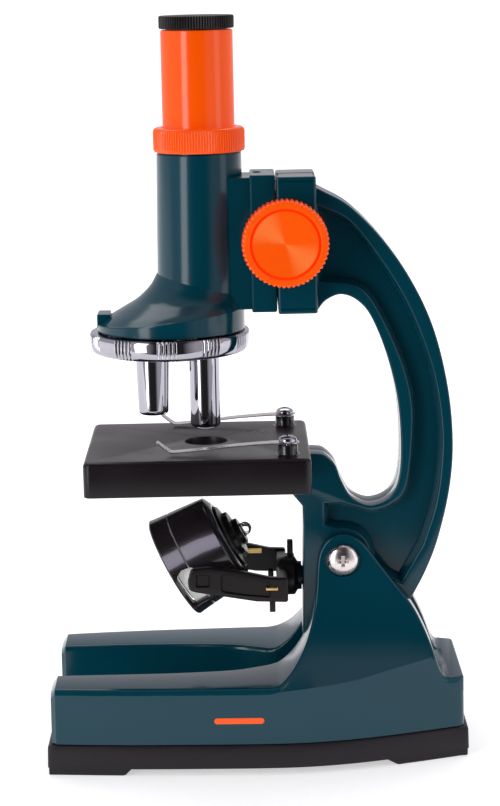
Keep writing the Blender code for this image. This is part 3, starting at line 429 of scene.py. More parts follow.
def turned_face_painted_sheen(name, colour, axis, pitch, painted_glow):
    """Plastic turned on a lathe, with fine rings round an axis along Y as bumps. Its base colour
    holds a painted sheen: two pale opposite sectors that follow cos(2 (angle - middle)), and faint
    lighter and darker rings. Any glow is painted light, an emission of its own colour."""
    finish, tree, shader, place = nodes_for(name)
    shift = tree.nodes.new("ShaderNodeVectorMath")
    shift.operation = "SUBTRACT"
    shift.inputs[1].default_value = tuple(axis * MM)
    tree.links.new(place, shift.inputs[0])
    parts = tree.nodes.new("ShaderNodeSeparateXYZ")
    tree.links.new(shift.outputs["Vector"], parts.inputs["Vector"])
    across, up = parts.outputs["X"], parts.outputs["Z"]
    squares = maths(tree, "ADD", maths(tree, "MULTIPLY", across, across),
                    maths(tree, "MULTIPLY", up, up))
    radius = maths(tree, "POWER", squares, 0.5)
    rings = maths(tree, "SINE", maths(tree, "MULTIPLY", radius, 2 * pi / pitch))
    # Painted highlight: the two pale sectors centre on the middle angle and fade out at the face's
    # edge.
    middle, pale, face_end, face_edge = radians(140), (1.0, 0.22, 0.045, 1), 0.0094, 0.0099
    angle = maths(tree, "SUBTRACT", maths(tree, "ARCTAN2", up, across), middle)
    sectors = maths(tree, "COSINE", maths(tree, "MULTIPLY", angle, 2.0))
    sheen = maths(tree, "MULTIPLY", spread(tree, sectors, 0.0, 1.0, 0.1, 1.0),
                  spread(tree, radius, 1.0, 0.0, face_end, face_edge))
    # Painted sheen and painted ring shading, mixed into the base colour below.
    lit = maths(tree, "ADD", sheen, maths(tree, "MULTIPLY", rings, 0.10))
    step = tree.nodes.new("ShaderNodeMix")
    step.data_type = "RGBA"
    step.inputs["A"].default_value = (*colour[:3], 1)
    step.inputs["B"].default_value = pale
    tree.links.new(lit, step.inputs["Factor"])
    tree.links.new(step.outputs["Result"], shader.inputs["Base Color"])
    shader.inputs["Roughness"].default_value = 0.2
    shader.inputs["Specular IOR Level"].default_value = 0.35
    # Painted glow: emission of the knob's own colour, though it is no lamp.
    shader.inputs["Emission Color"].default_value = (*colour[:3], 1)
    shader.inputs["Emission Strength"].default_value = painted_glow
    raised(tree, rings, shader, 0.000004)
    return finish


def plated(name, colour, roughness):
    """Bright plating over moulded or turned metal, with faint handling marks."""
    finish, tree, shader, place = nodes_for(name)
    marks = noise(tree, place, 260, 4)
    slow = noise(tree, place, 90, 1)
    shader.inputs["Metallic"].default_value = 1.0
    tree.links.new(tint(tree, marks, colour, 0.03), shader.inputs["Base Color"])
    tree.links.new(spread(tree, marks, roughness * 0.6, roughness * 1.6),
                   shader.inputs["Roughness"])
    raised(tree, slow, shader, 0.000002)
    return finish


def brushed(name, colour, roughness, stretch, scale=2500):
    """Metal with fine scratches, drawn out along one direction."""
    finish, tree, shader, place = nodes_for(name)
    lines = noise(tree, place, scale, 3, stretch)
    shader.inputs["Metallic"].default_value = 1.0
    tree.links.new(tint(tree, lines, colour, 0.10), shader.inputs["Base Color"])
    tree.links.new(spread(tree, lines, roughness * 0.8, roughness * 1.4),
                   shader.inputs["Roughness"])
    raised(tree, lines, shader, 0.000004)
    return finish


def clear(name, colour):
    """Clear glass or acrylic, roughened a little by dust."""
    finish, tree, shader, place = nodes_for(name)
    dust = noise(tree, place, 900, 4)
    shader.inputs["Base Color"].default_value = (*colour, 1)
    shader.inputs["Transmission Weight"].default_value = 1.0
    shader.inputs["IOR"].default_value = 1.49
    tree.links.new(spread(tree, dust, 0.01, 0.05, 0.5, 0.8), shader.inputs["Roughness"])
    return finish


FINISHES = {}


def make_finishes(colours):
    """Every finish, by the name that the pieces ask for."""
    teal, orange, black = (tuple(c) for c in (colours.teal, colours.orange, colours.black))
    FINISHES.update({
        "teal": moulded("teal_moulded", teal, 0.15, 0.000002, 0.05, specular=0.36),
        # Painted glow: the orange plastic emits a little of its own colour to look brighter.
        "orange": moulded("orange_moulded_painted_glow", orange, 0.13, 0.000001, 0.02, painted_glow=0.20),
        # The knob face carries a painted sheen in its colour and a painted glow.
        "orange_turned_painted_sheen": turned_face_painted_sheen("orange_turned_painted_sheen", orange, KNOB_AXIS, 0.0005, 0.20),
        "black": moulded("black_satin", black, 0.34, 0.000006, 0.12, specular=0.3),
        "stage_black": moulded("black_stage", (0.009, 0.006, 0.008), 0.30, 0.000006, 0.10,
                               specular=0.28),
        "tray_black": moulded("black_tray", (0.012, 0.009, 0.012), 0.40, 0.000008, 0.12,
                              specular=0.3),
        "black_gloss": moulded("black_gloss", (0.008, 0.006, 0.007), 0.24, 0.000002, 0.08,
                               coat=0.4, coat_index=1.7),
        "black_ribbed": moulded("black_ribbed", (0.016, 0.011, 0.012), 0.40, 0.000006, 0.15),
        "chrome": plated("chrome_plate", (0.43, 0.42, 0.47), 0.05),
        "nickel": plated("nickel_plate", (0.78, 0.72, 0.71), 0.22),
        "steel": brushed("steel_strip", (0.68, 0.66, 0.63), 0.26, (0.05, 1, 1)),
        "dull_steel": brushed("steel_screw", (0.52, 0.51, 0.50), 0.32, (1, 1, 0.2), 1400),
        "brass": brushed("brass_leaf", (0.78, 0.55, 0.20), 0.28, (0.1, 1, 1), 1800),
        "glass": clear("clear_lens", (0.93, 0.97, 0.98)),
        "mirror": plated("silvered_glass", (0.90, 0.91, 0.92), 0.015),
        # Painted glow: the white liner emits a little of its own colour so it reads bright inside
        # the drum.
        "white": moulded("white_moulded_painted_glow", (0.92, 0.91, 0.90), 0.35, 0.000004, 0.04, painted_glow=0.25),
        "cell": brushed("cell_sleeve", (0.35, 0.36, 0.38), 0.35, (0.05, 1, 1)),
        "lead": moulded("soft_lead", (0.30, 0.02, 0.02), 0.5, 0.00001, 0.10),
    })


PLAIN_NODES = {
    "black": ["battery_box", "battery_door", "base_tray", "lamp_housing", "mirror_bezel",
              "lamp_holder", "lamp_fork", "stage", "eyepiece"],
    "teal": ["base_housing", "arm_half_near", "arm_half_far", "body_tube"],
    "orange": ["drawtube", "zoom_collar", "focus_knob_near", "focus_knob_far"],
    "chrome": ["pivot_screw", "clip_screw_near", "clip_screw_far", "turret_screw", "nosepiece",
               "objective_long", "objective_medium", "objective_short"],
    "steel": ["clip_near", "clip_far", "contact_plate", "contact_spring_near",
              "contact_spring_far"],
    "dull_steel": ["door_screw", "tray_screw_1", "tray_screw_2", "tray_screw_3", "tray_screw_4",
                   "pivot_nut", "arm_screw_1", "arm_screw_2", "arm_screw_3",
                   "stage_screw_near", "stage_screw_far", "focus_shaft", "fork_retainer"],
    "brass": ["focus_rack", "focus_pinion", "lamp_contact_near", "lamp_contact_far"],
    "glass": ["eye_lens", "field_lens", "objective_lens_long", "objective_lens_medium",
              "objective_lens_short", "lamp_bulb"],
    "mirror": ["mirror_glass"],
    "white": ["mirror_liner"],
    "cell": ["battery_near", "battery_far"],
    "lead": ["base_lead", "arm_lead"],
}


def finish_plain_nodes():
    """Every solid gets its finish, whether or not a finer piece stands for it."""
    for finish, names in PLAIN_NODES.items():
        for name in names:
            node = frame["nodes"][name]
            node.data.materials.clear()
            node.data.materials.append(FINISHES[finish])


# ---------------------------------------------------------------- base

LEG_TOP, DECK_TOP, SHELL_FOOT = 26.6, 25.0, 9.6
LEG_WIDTHS = [(-62.75, 30.2), (-48, 31.7), (-34, 32.7), (-18, 33.4), (1, 34.0),
              (14, 33.6), (26, 31.8), (38, 28.7), (50, 24.8), (62.75, 20.2)]
LEG_GAPS = [(-62.75, 15.0), (-34, 15.0), (-20, 14.4), (-7, 12.8), (0, 9.8), (5, 7.5), (8, 7.3)]
EAR_OUTER, EAR_HIGH = 10.0, 67.6
EAR_EDGE = [(2.5, 26.6), (4.5, 26.7), (6.9, 27.4), (10.7, 30.6), (14.3, 35.8), (16.8, 42.3),
            (18.1, 50.0), (18.9, 59.0), (20.2, 63.4), (22.9, 66.5), (26.6, 67.6), (30.4, 66.6),
            (33.6, 64.0), (38.4, 57.6), (43.6, 50.8), (47.5, 45.9), (50.4, 40.6), (52.8, 35.0),
            (55.0, 28.6), (56.6, 25.6), (58.5, 25.0)]
CREASE = [(1, 25.0), (27, 27.5), (40, 30.0), (54, 32.4)]
SWEEP_POWER = 2.6


def curved(points, x):
    """Height of a smooth line through the points, at each x."""
    line = through(points, 8)
    return np.interp(x, line[:, 0], line[:, 1])


def side_of_base(x, z):
    """Half-width of the base at (x, z): the wall, which leans out a little downwards, and above
    the crease the ear's sweep, outer + (wall - outer) * t ** power, for t falling from 1 at the
    crease to 0 at the ear's top."""
    wall = curved(LEG_WIDTHS, x)
    crease = curved(CREASE, x)
    t = np.clip((EAR_HIGH - z) / (EAR_HIGH - crease), 0, 1)
    ear = EAR_OUTER + (wall - EAR_OUTER) * t ** SWEEP_POWER
    share = np.clip((x - 1) / 6, 0, 1) ** 1.5 * np.clip((60 - x) / 3, 0, 1)
    lean = 0.7 * np.clip((crease - z) / (crease - SHELL_FOOT), 0, 1)
    return wall + lean + (np.minimum(ear, wall) - wall) * share * (z > crease)


def base_edge_line():
    """The side view's top line, from the leg's tip over the ear to the rear."""
    front, rear = LEG_WIDTHS[0][0], LEG_WIDTHS[-1][0]
    leg = np.column_stack([np.linspace(front, 0, 26), np.full(26, LEG_TOP)])
    ear = through(EAR_EDGE, 9)
    deck = np.column_stack([np.linspace(59.2, rear, 6), np.full(6, DECK_TOP)])
    return np.vstack([leg, ear, deck])


def base_half(side):
    """One leg with its ear: rows of closed sections, one for each point of the edge line.

    Each section goes up the wall, follows the sweep, turns over a rounded edge and comes down the
    flat inner face. The edge's rounding runs square to the edge line."""
    line = base_edge_line()
    slope = np.gradient(line, axis=0)
    slope /= np.linalg.norm(slope, axis=1, keepdims=True)
    inward = np.stack([slope[:, 1], -slope[:, 0]], 1)
    x = line[:, 0]
    on_ear = np.clip((x - 3) / 8, 0, 1) * np.clip((58 - x) / 4, 0, 1)
    radius = (1.9 - 1.0 * on_ear)[:, None]
    tips, shrink = end_rounding(x, 1.8)
    line = np.column_stack([tips, line[:, 1] - shrink])
    angle = np.linspace(0, pi / 2, 6)
    depth = radius * (1 - np.cos(angle))
    edge_x = line[:, :1] + inward[:, :1] * depth
    edge_z = line[:, 1:] + inward[:, 1:] * depth
    outer = side_of_base(edge_x[:, -1], edge_z[:, -1])[:, None] - shrink[:, None]
    edge_y = outer - radius + radius * np.sin(angle)
    foot_x, foot_z = edge_x[:, -1:], edge_z[:, -1:]
    crease = np.minimum(curved(CREASE, foot_x[:, 0])[:, None], foot_z - 0.3)
    t = np.linspace(0, 1, 15)[1:] ** 0.85
    sweep_z = foot_z + (crease - foot_z) * t
    sweep_x = np.repeat(foot_x, sweep_z.shape[1], 1)
    sweep_y = side_of_base(sweep_x, sweep_z + 0.01) - shrink[:, None]
    wall_z = crease + (SHELL_FOOT - crease) * np.linspace(0, 1, 5)
    wall_x = np.repeat(foot_x, 5, 1)
    wall_y = side_of_base(wall_x, wall_z - 0.01) - shrink[:, None]
    gap = (curved(LEG_GAPS, np.minimum(x, 8)) + shrink)[:, None]
    small = radius * (0.9 - 0.45 * on_ear[:, None])
    inner_z = line[:, 1:] - small * (1 - np.cos(angle))
    inner_y = gap + small * (1 - np.sin(angle))
    inner_x = line[:, :1] + inward[:, :1] * small * (1 - np.cos(angle))
    drop = np.linspace(0, 1, 4)[1:]
    down_z = inner_z[:, -1:] + (SHELL_FOOT - inner_z[:, -1:]) * drop
    down_x = np.repeat(inner_x[:, -1:], 3, 1) + (foot_x - inner_x[:, -1:]) * drop
    down_y = np.repeat(gap, 3, 1)
    parts = [(wall_x[:, ::-1], wall_y[:, ::-1], wall_z[:, ::-1]),
             (sweep_x[:, ::-1][:, 1:], sweep_y[:, ::-1][:, 1:], sweep_z[:, ::-1][:, 1:]),
             (edge_x[:, ::-1], edge_y[:, ::-1], edge_z[:, ::-1]),
             (inner_x, inner_y, inner_z), (down_x, down_y, down_z)]
    grid = np.stack([np.concatenate([p[k] for p in parts], 1) for k in range(3)], -1)
    grid[..., 1] *= side
    return grid


def end_rounding(x, radius):
    """Rounds both ends of a run in plan: near an end, x is bunched on a quarter circle and the
    section shrinks by what the circle takes."""
    low, high = x[0], x[-1]
    near = np.minimum(x - low, high - x)
    share = np.clip(near / (radius * 1.6), 0, 1)
    angle = share * pi / 2
    shrink = np.where(share < 1, radius * (1 - np.sin(angle)), 0)
    moved = np.where(share < 1, radius * (1 - np.cos(angle)) - near, 0)
    return np.where(x - low < high - x, x + moved, x - moved), shrink


def base_shell():
    """Both legs with their ears, the floor between the ears that the arm stands over, and the
    slab of the rear deck."""
    surface = Surface()
    for side in (1, -1):
        grid = base_half(side)
        surface.grid(grid).flat(grid[0]).flat(grid[-1])
    rear = LEG_WIDTHS[-1][0]
    floor = eased([(6.5, SHELL_FOOT), (6.5, 13.0), (15.5, 28.3), (50, 28.3), (57, DECK_TOP),
                   (rear - 0.5, DECK_TOP), (rear - 0.5, SHELL_FOOT)], [0, 2, 2, 2, 3, 0.6, 0])
    plate(floor, -9.0, 9.0, 0.1, NEAR, surface=surface)
    half = curved(LEG_WIDTHS, [57.6, rear]) - 0.05
    deck = eased([(57.6, -half[0]), (rear, -half[1]), (rear, half[1]), (57.6, half[0])],
                 [0.3, 1.7, 1.7, 0.3])
    plate(deck, 20.0, DECK_TOP + 0.06, 0.7, low_edge=0.02, surface=surface)
    return surface


def stripe():
    """A plain stripe on the near wall, 0.12 mm proud: the flat shape's (x, z) is laid on the wall's
    own surface."""
    outline = eased(oblong(-13.5, 15.9, 1.5, 17.7), 0.89)
    rows = []
    for inset, lift in ((0.0, -0.3), (0.0, 0.06), (0.07, 0.12)):
        x, z = drawn_in(outline, inset).T
        rows.append(np.stack([x, -(side_of_base(x, z) + lift), z], -1))
    return capped(np.array(rows))


TRAY_LIP = 1.4


def tray_plan(grow):
    """U-shaped plan of the tray, which follows the shell's plan at a small distance."""
    front, rear = LEG_WIDTHS[0][0] - grow, LEG_WIDTHS[-1][0] + grow
    count = 40
    x = np.linspace(rear, front, count)
    outer = np.column_stack([x, curved(LEG_WIDTHS, x) + grow])
    x = np.linspace(front, -4, 24)
    inner = np.column_stack([x, curved(LEG_GAPS, x) - grow])
    end = [(-1.6, 7.4), (1.0, 5.0), (2.6, 2.4)]
    half = np.vstack([outer, inner, end])
    whole = np.vstack([half, half[::-1] * (1, -1)])
    radii = np.zeros(len(whole))
    radii[[0, count - 1, count, -count - 1, -count, -1]] = 1.2
    return eased(whole, radii, 4)


def foot_plan(front, rear, split):
    """Plan of one raised pad between two places along X."""
    x = np.linspace(front, rear, 10)
    outer = np.column_stack([x, curved(LEG_WIDTHS, x) + TRAY_LIP - 0.35])
    if split:
        inner = np.column_stack([x, curved(LEG_GAPS, x) - TRAY_LIP + 0.35])
        return np.vstack([outer, inner[::-1]])
    return np.vstack([outer, outer[::-1] * (1, -1)])


def base_pan():
    """The tray's wall, with its rounded lip, and its three pads with sloped ends."""
    surface = Surface()
    plan = tray_plan(TRAY_LIP)
    inner = tray_plan(TRAY_LIP - 2.2)
    wall = stack_of(plan, [(0.5, 2.0), (0.12, 2.2), (0.0, 2.6), (0.15, 8.4), (0.35, 9.0),
                           (0.8, 9.3)], UP)
    well = stack_of(inner, [(0.0, 9.3), (0.0, 4.0)], UP)
    surface.grid(wall).flat(wall[0]).flat(wall[-1], well[0]).grid(well).flat(well[-1])
    low, high = LEG_WIDTHS[0][0] - TRAY_LIP + 0.4, LEG_WIDTHS[-1][0] + TRAY_LIP - 0.4
    pads = [(low, -40.5, -38.3, True, 1), (low, -40.5, -38.3, True, -1),
            (high, 41.5, 37.8, False, 1)]
    for end, foot, head, split, side in pads:
        rows = []
        back = 0.4 if foot > 0 else -0.4
        for reach, z in ((foot + back, 0.0), (foot, 0.35), (head, 2.6)):
            ring = foot_plan(end, reach, split) * (1, side)
            ring = drawn_in(ring, 0.35 if z == 0 else 0.0)
            rows.append(np.column_stack([ring, np.full(len(ring), z)]))
        surface.grid(np.array(rows)).flat(rows[0]).flat(rows[-1])
    return surface


TILT_SCREW_R, TILT_SCREW_HIGH = 4.85, 2.9


def screw_seat(side, axes):
    """Tool for the shallow round seat of the tilt screw or its nut in an ear."""
    return turned([(0, 0), (5.4, 0), (5.4, 12), (0, 12)], (PIVOT[0], side * 10.2, PIVOT[2]), axes)


def screw_head(centre, axes, radius, height, shank):
    """Domed head on a shank of a given (radius, length): the dome is a quarter ellipse over a
    short straight rim."""
    angle, rim = np.linspace(pi / 2, 0, 10), 0.22
    dome = np.column_stack([radius * np.cos(angle), height * (rim + (1 - rim) * np.sin(angle))])
    dome = np.vstack([dome[:-1], [(radius, height * rim), (radius * 0.97, 0.0)],
                      [(shank[0], 0.0), (shank[0], -shank[1]), (0, -shank[1])]])
    return turned(dome, centre, axes, 64)


def cross_cuts(centre, axes, radius, height, depth):
    """Two tapered slots that make a cross recess."""
    cuts = []
    for long_way in ((1, 0), (0, 1)):
        rows = []
        for lift, grow in ((height - depth, 0.45), (height * 1.4, 1.0)):
            a, b = (radius * (0.50 * grow if way else 0.13 * (0.7 + 0.3 * grow))
                    for way in long_way)
            ring = eased(oblong(-a, -b, a, b), 0.04, 2)
            rows.append(np.column_stack([ring, np.full(len(ring), lift)]))
        cuts.append(capped(placed(np.array(rows), axes, centre)))
    return cuts


# ---------------------------------------------------------------- arm

ARM_HALF, ARM_WEB = 6.9, 2.4
ARM_BACK = [(21.6, 172.9), (30.1, 167.9), (39.8, 157.9), (48.7, 144.8), (55.3, 130.0),
            (59.5, 112.0), (60.9, 95.0), (59.7, 80.1), (56.2, 65.1), (52.4, 55.0), (48.3, 47.0)]
ARM_BOTTOM = [(43.5, 41.0), (36.0, 36.4), (26.0, 33.6), (14.1, 33.6)]
ARM_BOW = [(20.1, 136.4), (22.8, 139.5), (27.3, 141.2), (32.3, 139.2), (36.7, 133.5),
           (41.6, 120.3), (44.5, 105.4), (44.8, 88.0), (42.1, 78.9), (35.7, 75.8),
           (29.9, 78.3), (26.6, 84.0), (24.9, 88.6), (21.6, 91.8), (18.6, 92.4)]
SHELF = [(-2.0, 92.4), (-2.0, 90.4), (7.3, 85.1), (14.7, 76.0), (14.8, 70.0)]
POCKET_BACK = [(20.6, 168.2), (30.1, 163.3), (39.9, 150.6), (47.0, 138.5), (52.0, 126.4),
               (55.6, 113.8), (57.4, 100.0), (57.2, 88.0), (55.4, 75.7), (51.4, 63.0)]
POCKET_BOW = [(35.8, 73.9), (41.4, 75.7), (46.6, 81.5), (48.7, 101.3), (47.4, 114.0),
              (43.1, 126.6), (36.5, 139.6), (31.0, 144.0), (20.6, 145.2)]
HEAD_LOW, HEAD_HIGH = (8.3, 136.4), (20.1, 177.5)
HEAD_HALF, HEAD_INSIDE, HEAD_MOUTH = 12.8, 11.3, 7.0


def arm_line():
    """Side outline of the arm: back, foot, column front, shelf and inner bow."""
    return np.vstack([[(18.8, 174.4)], through(ARM_BACK), through(ARM_BOTTOM), SHELF[::-1],
                      through(ARM_BOW[::-1]), [(18.8, 136.4)]])


def pocket_line():
    """Outline of the recess, which stops short of the pivot's boss."""
    angle, boss_r = np.radians(np.linspace(-20, 100, 14)), 9
    boss = PIVOT[[0, 2]] + boss_r * np.column_stack([np.cos(angle), np.sin(angle)])
    column = [(21.4, 70.0), (21.4, 76.6), (26.4, 76.8)]
    return np.vstack([through(POCKET_BACK), [(44.8, 51.5)], boss, column, through(POCKET_BOW)])


def arm_half(side, axes):
    """One moulded half: an I section with a sloped recess, the head's wall, floor and lid, and
    the wing that carries the stage."""
    flip, upright = (1, side), (1, -side)
    recess = (pocket_line() * upright, ARM_HALF - ARM_WEB, 1.3, 0.7)
    surface = plate(arm_line() * upright, 0.15, ARM_HALF, 0.55, axes, 0.2, pocket=recess)
    (x0, z0), (x1, z1) = HEAD_LOW, HEAD_HIGH
    wall = eased(np.array([(x0, HEAD_MOUTH), (x0, HEAD_HALF), (x1, HEAD_HALF), (x1, 0.15),
                           (x1 - 1.5, 0.15), (x1 - 1.5, HEAD_INSIDE), (x0 + 0.9, HEAD_INSIDE),
                           (x0 + 0.9, HEAD_MOUTH)]) * flip, [0.1, 0.7, 0.9, 0.2, 0, 0.3, 0, 0])
    lid = eased(np.array([(x0, 0.15), (x0, HEAD_HALF), (x1, HEAD_HALF), (x1, 0.15)]) * flip,
                [0.25, 0.7, 0.9, 0.25])
    plate(wall, z0 + 1.4, z1 - 1.3, 0.02, surface=surface)
    plate(lid, z0, z0 + 1.6, 0.02, low_edge=0.6, surface=surface)
    plate(lid, z1 - 1.5, z1, 0.7, low_edge=0.02, surface=surface)
    wing = eased(np.array([(-2.0, 0.15), (-2.0, 14), (14.5, 14), (14.5, 0.15)]) * flip, 0.5)
    return plate(wing, 89.2, 92.4, 0.4, surface=surface)


# ---------------------------------------------------------------- stage and clips

STAGE_TOP, STAGE_CEILING, STAGE_WALL, LIGHT_HOLE_R = 95.8, 92.8, 2.2, 6.5
POST_TOP, POST_SCREW_Z, POST_SCREW_R, POST_SCREW_HIGH = 98.8, 99.65, 2.75, 1.9


def stage_surface():
    """The table's top, its outer wall, the light hole and the hollow below: each is one outline
    carried through levels, and the top's edge is a quarter circle."""
    low, high = box_of("stage")
    foot = low[2]
    outline = eased(oblong(*low[:2], *high[:2]), 2.2, 6)
    hollow = eased(oblong(*(low[:2] + STAGE_WALL), *(high[:2] - STAGE_WALL)), 1.0)
    inset, drop = rounding(1.5, 6)
    levels = [(0.4, foot), (0.1, foot + 0.1), (0.0, foot + 0.4)]
    levels += [(i, STAGE_TOP - d) for i, d in zip(inset[::-1], drop[::-1])]
    wall = stack_of(outline, levels, UP)
    bore = stack_of(circle(LIGHT_HOLE_R, 72, (TUBE_AXIS, 0)),
                    [(-0.35, STAGE_TOP), (-0.1, STAGE_TOP - 0.1), (0.0, STAGE_TOP - 0.35),
                     (0.0, STAGE_CEILING)], UP)
    well = stack_of(hollow, [(0.0, foot), (0.0, STAGE_CEILING)], UP)
    surface = Surface().grid(wall).grid(bore).grid(well)
    return surface.flat(wall[-1], bore[0]).flat(wall[0], well[0]).flat(well[-1], bore[-1])


def clip_post(name):
    """Turned post that a clip swivels on, with a small fillet at its foot."""
    x, y, _ = joint_place(f"clip_{name}_swivel")
    profile = [(0, STAGE_TOP - 0.6), (3.7, STAGE_TOP - 0.6), (3.7, STAGE_TOP), (3.2, 95.95),
               (3.0, 96.3), (3.0, POST_TOP - 0.3), (2.75, POST_TOP), (0, POST_TOP)]
    return turned(profile, (x, y, 0), UP, 64)


CLIP_LINE = [(13.6, 99.4), (6.0, 99.3), (-5.0, 98.5), (-15.0, 97.4), (-22.0, 96.75),
             (-24.6, 96.65), (-25.6, 97.1), (-27.0, 98.1), (-29.0, 99.75)]


def clip_surface(name):
    """Sprung strip: a flat section (cos a, sin a), each to a power below 1, carried along the
    clip's line, wide at the post, then turned a little about the post."""
    x, y, _ = joint_place(f"clip_{name}_swivel")
    line = through(CLIP_LINE, 10)
    run = line[:, 0]
    half = np.interp(run, [-29, -28.6, -27.5, 0, 6, 8], [1.3, 1.8, 2.1, 2.1, 2.3, 2.5])
    end = np.sqrt(np.clip(1 - ((run - x) / 3.5) ** 2, 0.02, 1)) * 3.4
    half = np.where(run > x, np.minimum(half * 1.2, end), half)
    half_thickness, turn = 0.22, radians(-3.5)
    c, s = circle(1, 12).T
    section = np.column_stack([np.sign(c) * np.abs(c) ** 0.25,
                               half_thickness * np.sign(s) * np.abs(s) ** 0.6])
    grid = sweep(line, section, half)
    dx, dy = grid[..., 0] - x, grid[..., 1].copy()
    grid[..., 0] = x + dx * cos(turn) - dy * sin(turn)
    grid[..., 1] = y + dx * sin(turn) + dy * cos(turn)
    return capped(grid)


# ---------------------------------------------------------------- tube

TUBE_REAR, TUBE_SEGMENTS = -1.8, 128
FLARE = [(133.4, 138.2, 22.05), (135.4, 139.0, 20.5), (138.1, 139.8, 18.2), (140.6, 140.4, 16.2),
         (144.2, 141.0, 14.35), (147.9, 141.3, 13.25)]


def tube_rows(rings):
    """Circles that all touch the line x = TUBE_REAR. Each one's height goes evenly along X from
    its front height to its rear height."""
    angle = np.linspace(0, 2 * pi, TUBE_SEGMENTS, endpoint=False)
    front, rear, radius = np.asarray(rings, float).T[:, :, None]
    x = TUBE_REAR - radius + radius * np.cos(angle)
    share = (x - (TUBE_REAR - 2 * radius)) / (2 * radius)
    z = front + (rear - front) * share
    return np.stack([x, radius * np.sin(angle), z], -1)


def tube_surface():
    """The tube and its flare: a crisp lower rim whose crease climbs to the rear, and a hollow sweep
    that meets the tube in a second crease, which falls to the rear. The bore is inside. Behind
    are the carriage block, its neck and its two rails, and in front is a small lug."""
    rim = np.array([(131.0, 131.0, 22.2), (131.15, 131.15, 22.45), (131.5, 131.5, 22.5),
                    (132.9, 137.6, 22.5), (133.15, 137.95, 22.42), (133.3, 138.1, 22.25)])
    sweep_up = through(FLARE, 7)
    neck = np.array([(148.2, 141.6, 13.12), (154.0, 150.0, 13.07), (160.0, 160.0, 13.03),
                     (172.0, 172.0, 12.92), (183.9, 183.9, 12.8), (184.25, 184.25, 12.7),
                     (184.4, 184.4, 12.4)])
    outer = tube_rows(np.vstack([rim, sweep_up, neck]))
    spigot = np.array([(12.2, 184.4), (12.2, 189.8), (12.0, 190.0), (11.1, 190.0), (11.1, 163.0),
                       (8.0, 163.0), (8.0, 131.5)])
    angle = np.linspace(0, 2 * pi, TUBE_SEGMENTS, endpoint=False)
    bore = np.stack([TUBE_AXIS + spigot[:, :1] * np.cos(angle), spigot[:, :1] * np.sin(angle),
                     np.repeat(spigot[:, 1:], TUBE_SEGMENTS, 1)], -1)
    under = tube_rows([(131.5, 131.5, 22.0), (131.0, 131.0, 22.0)])
    surface = Surface().grid(np.vstack([outer, bore, under]), wrap_rows=True)
    block((-46.6, -4.6, 132.0), (-42.6, 4.6, 136.3), 0.5, surface)
    slot = eased(oblong(1.4, -2.2, 3.8, 2.2), 1.1)
    carriage = eased(oblong(0.4, -10.8, 8.0, 10.8), [0.7, 0.5, 0.5, 0.7])
    plate(carriage, 136.8, 178.0, 0.6, surface=surface, pocket=(slot, 9.0, 0.1, 0.15))
    plate(eased(oblong(-8, -9.6, 1.4, 9.6), 0.3), 137.6, 177.2, 0.5, surface=surface)
    for side in (1, -1):
        rail = [(7.0, 4.6 * side), (16.0, 4.6 * side), (16.0, 6.6 * side), (11.4, 6.6 * side),
                (11.4, 8.8 * side), (9.5, 8.8 * side), (9.5, 6.6 * side), (7.0, 6.6 * side)]
        plate(eased(rail, 0.1, 2), 140.6, 164.4, 0.1, surface=surface)
    return surface


# ---------------------------------------------------------------- turned pieces

def knurl(count, depth, sharpness=1.0):
    """Ridges round a piece: depth * |cos(count a / 2)| ** sharpness, less the depth."""
    def ribs(angle):
        return depth * (np.abs(np.cos(count * angle / 2)) ** sharpness - 1)
    return ribs


def grouped_grooves(groups, each, depth):
    """Groups of narrow grooves with plain stretches between them. Over the grooved share of each
    group's turn t, the surface sinks by depth * sin(pi each t / share) ** 4."""
    share = 0.46

    def ribs(angle):
        turn = (angle * groups / (2 * pi)) % 1.0
        inside = (turn < share).astype(float)
        return -depth * inside * np.sin(pi * turn / share * each) ** 4
    return ribs


def eyepiece_surface(count):
    """Ribbed ring with a dished eye cup, on a plain sleeve that fits the draw tube."""
    profile = [(5.0, 222.7), (5.0, 223.9), (5.6, 224.4), (6.6, 224.92), (7.2, 225.0),
               (10.6, 225.0), (10.95, 224.93), (11.16, 224.75), (11.24, 224.4), (11.24, 221.6),
               (11.1, 221.2), (10.7, 221.1), (9.0, 221.1), (9.0, 200.0), (7.7, 200.0),
               (7.7, 222.7)]
    shares = [0, 0, 0, 0, 0, 0, 0.3, 0.8, 1, 1, 0.9, 0, 0, 0, 0, 0]
    return turned(profile, (TUBE_AXIS, 0, 0), UP, count * 8, knurl(count, 0.6, 0.8), shares, True)


def drawtube_surface():
    """Plain turned sleeve with eased ends."""
    low, high = box_of("drawtube")
    outer, inner = 10.8, 9.3
    profile = [(inner, low[2]), (outer - 0.2, low[2]), (outer, low[2] + 0.3),
               (outer, high[2] - 0.5), (outer - 0.12, high[2] - 0.15), (outer - 0.5, high[2]),
               (inner + 0.2, high[2]), (inner, high[2] - 0.2)]
    return turned(profile, (TUBE_AXIS, 0, 0), UP, 128, closed=True)


def collar_surface(count):
    """Grip ring with a fine knurl, a rounded shoulder and a bore."""
    low, high = 184.7, 192.0
    profile = [(12.5, low), (13.2, low), (13.55, low + 0.15), (13.78, low + 0.6),
               (13.8, low + 1.1), (13.8, high - 1.5), (13.7, high - 0.9), (13.35, high - 0.35),
               (12.8, high - 0.05), (12.4, high), (11.15, high), (11.15, 190.3), (12.5, 190.3)]
    shares = [0, 0, 0.2, 0.8, 1, 1, 0.9, 0.4, 0, 0, 0, 0, 0]
    return turned(profile, (TUBE_AXIS, 0, 0), UP, count * 8, knurl(count, 0.26), shares, True)


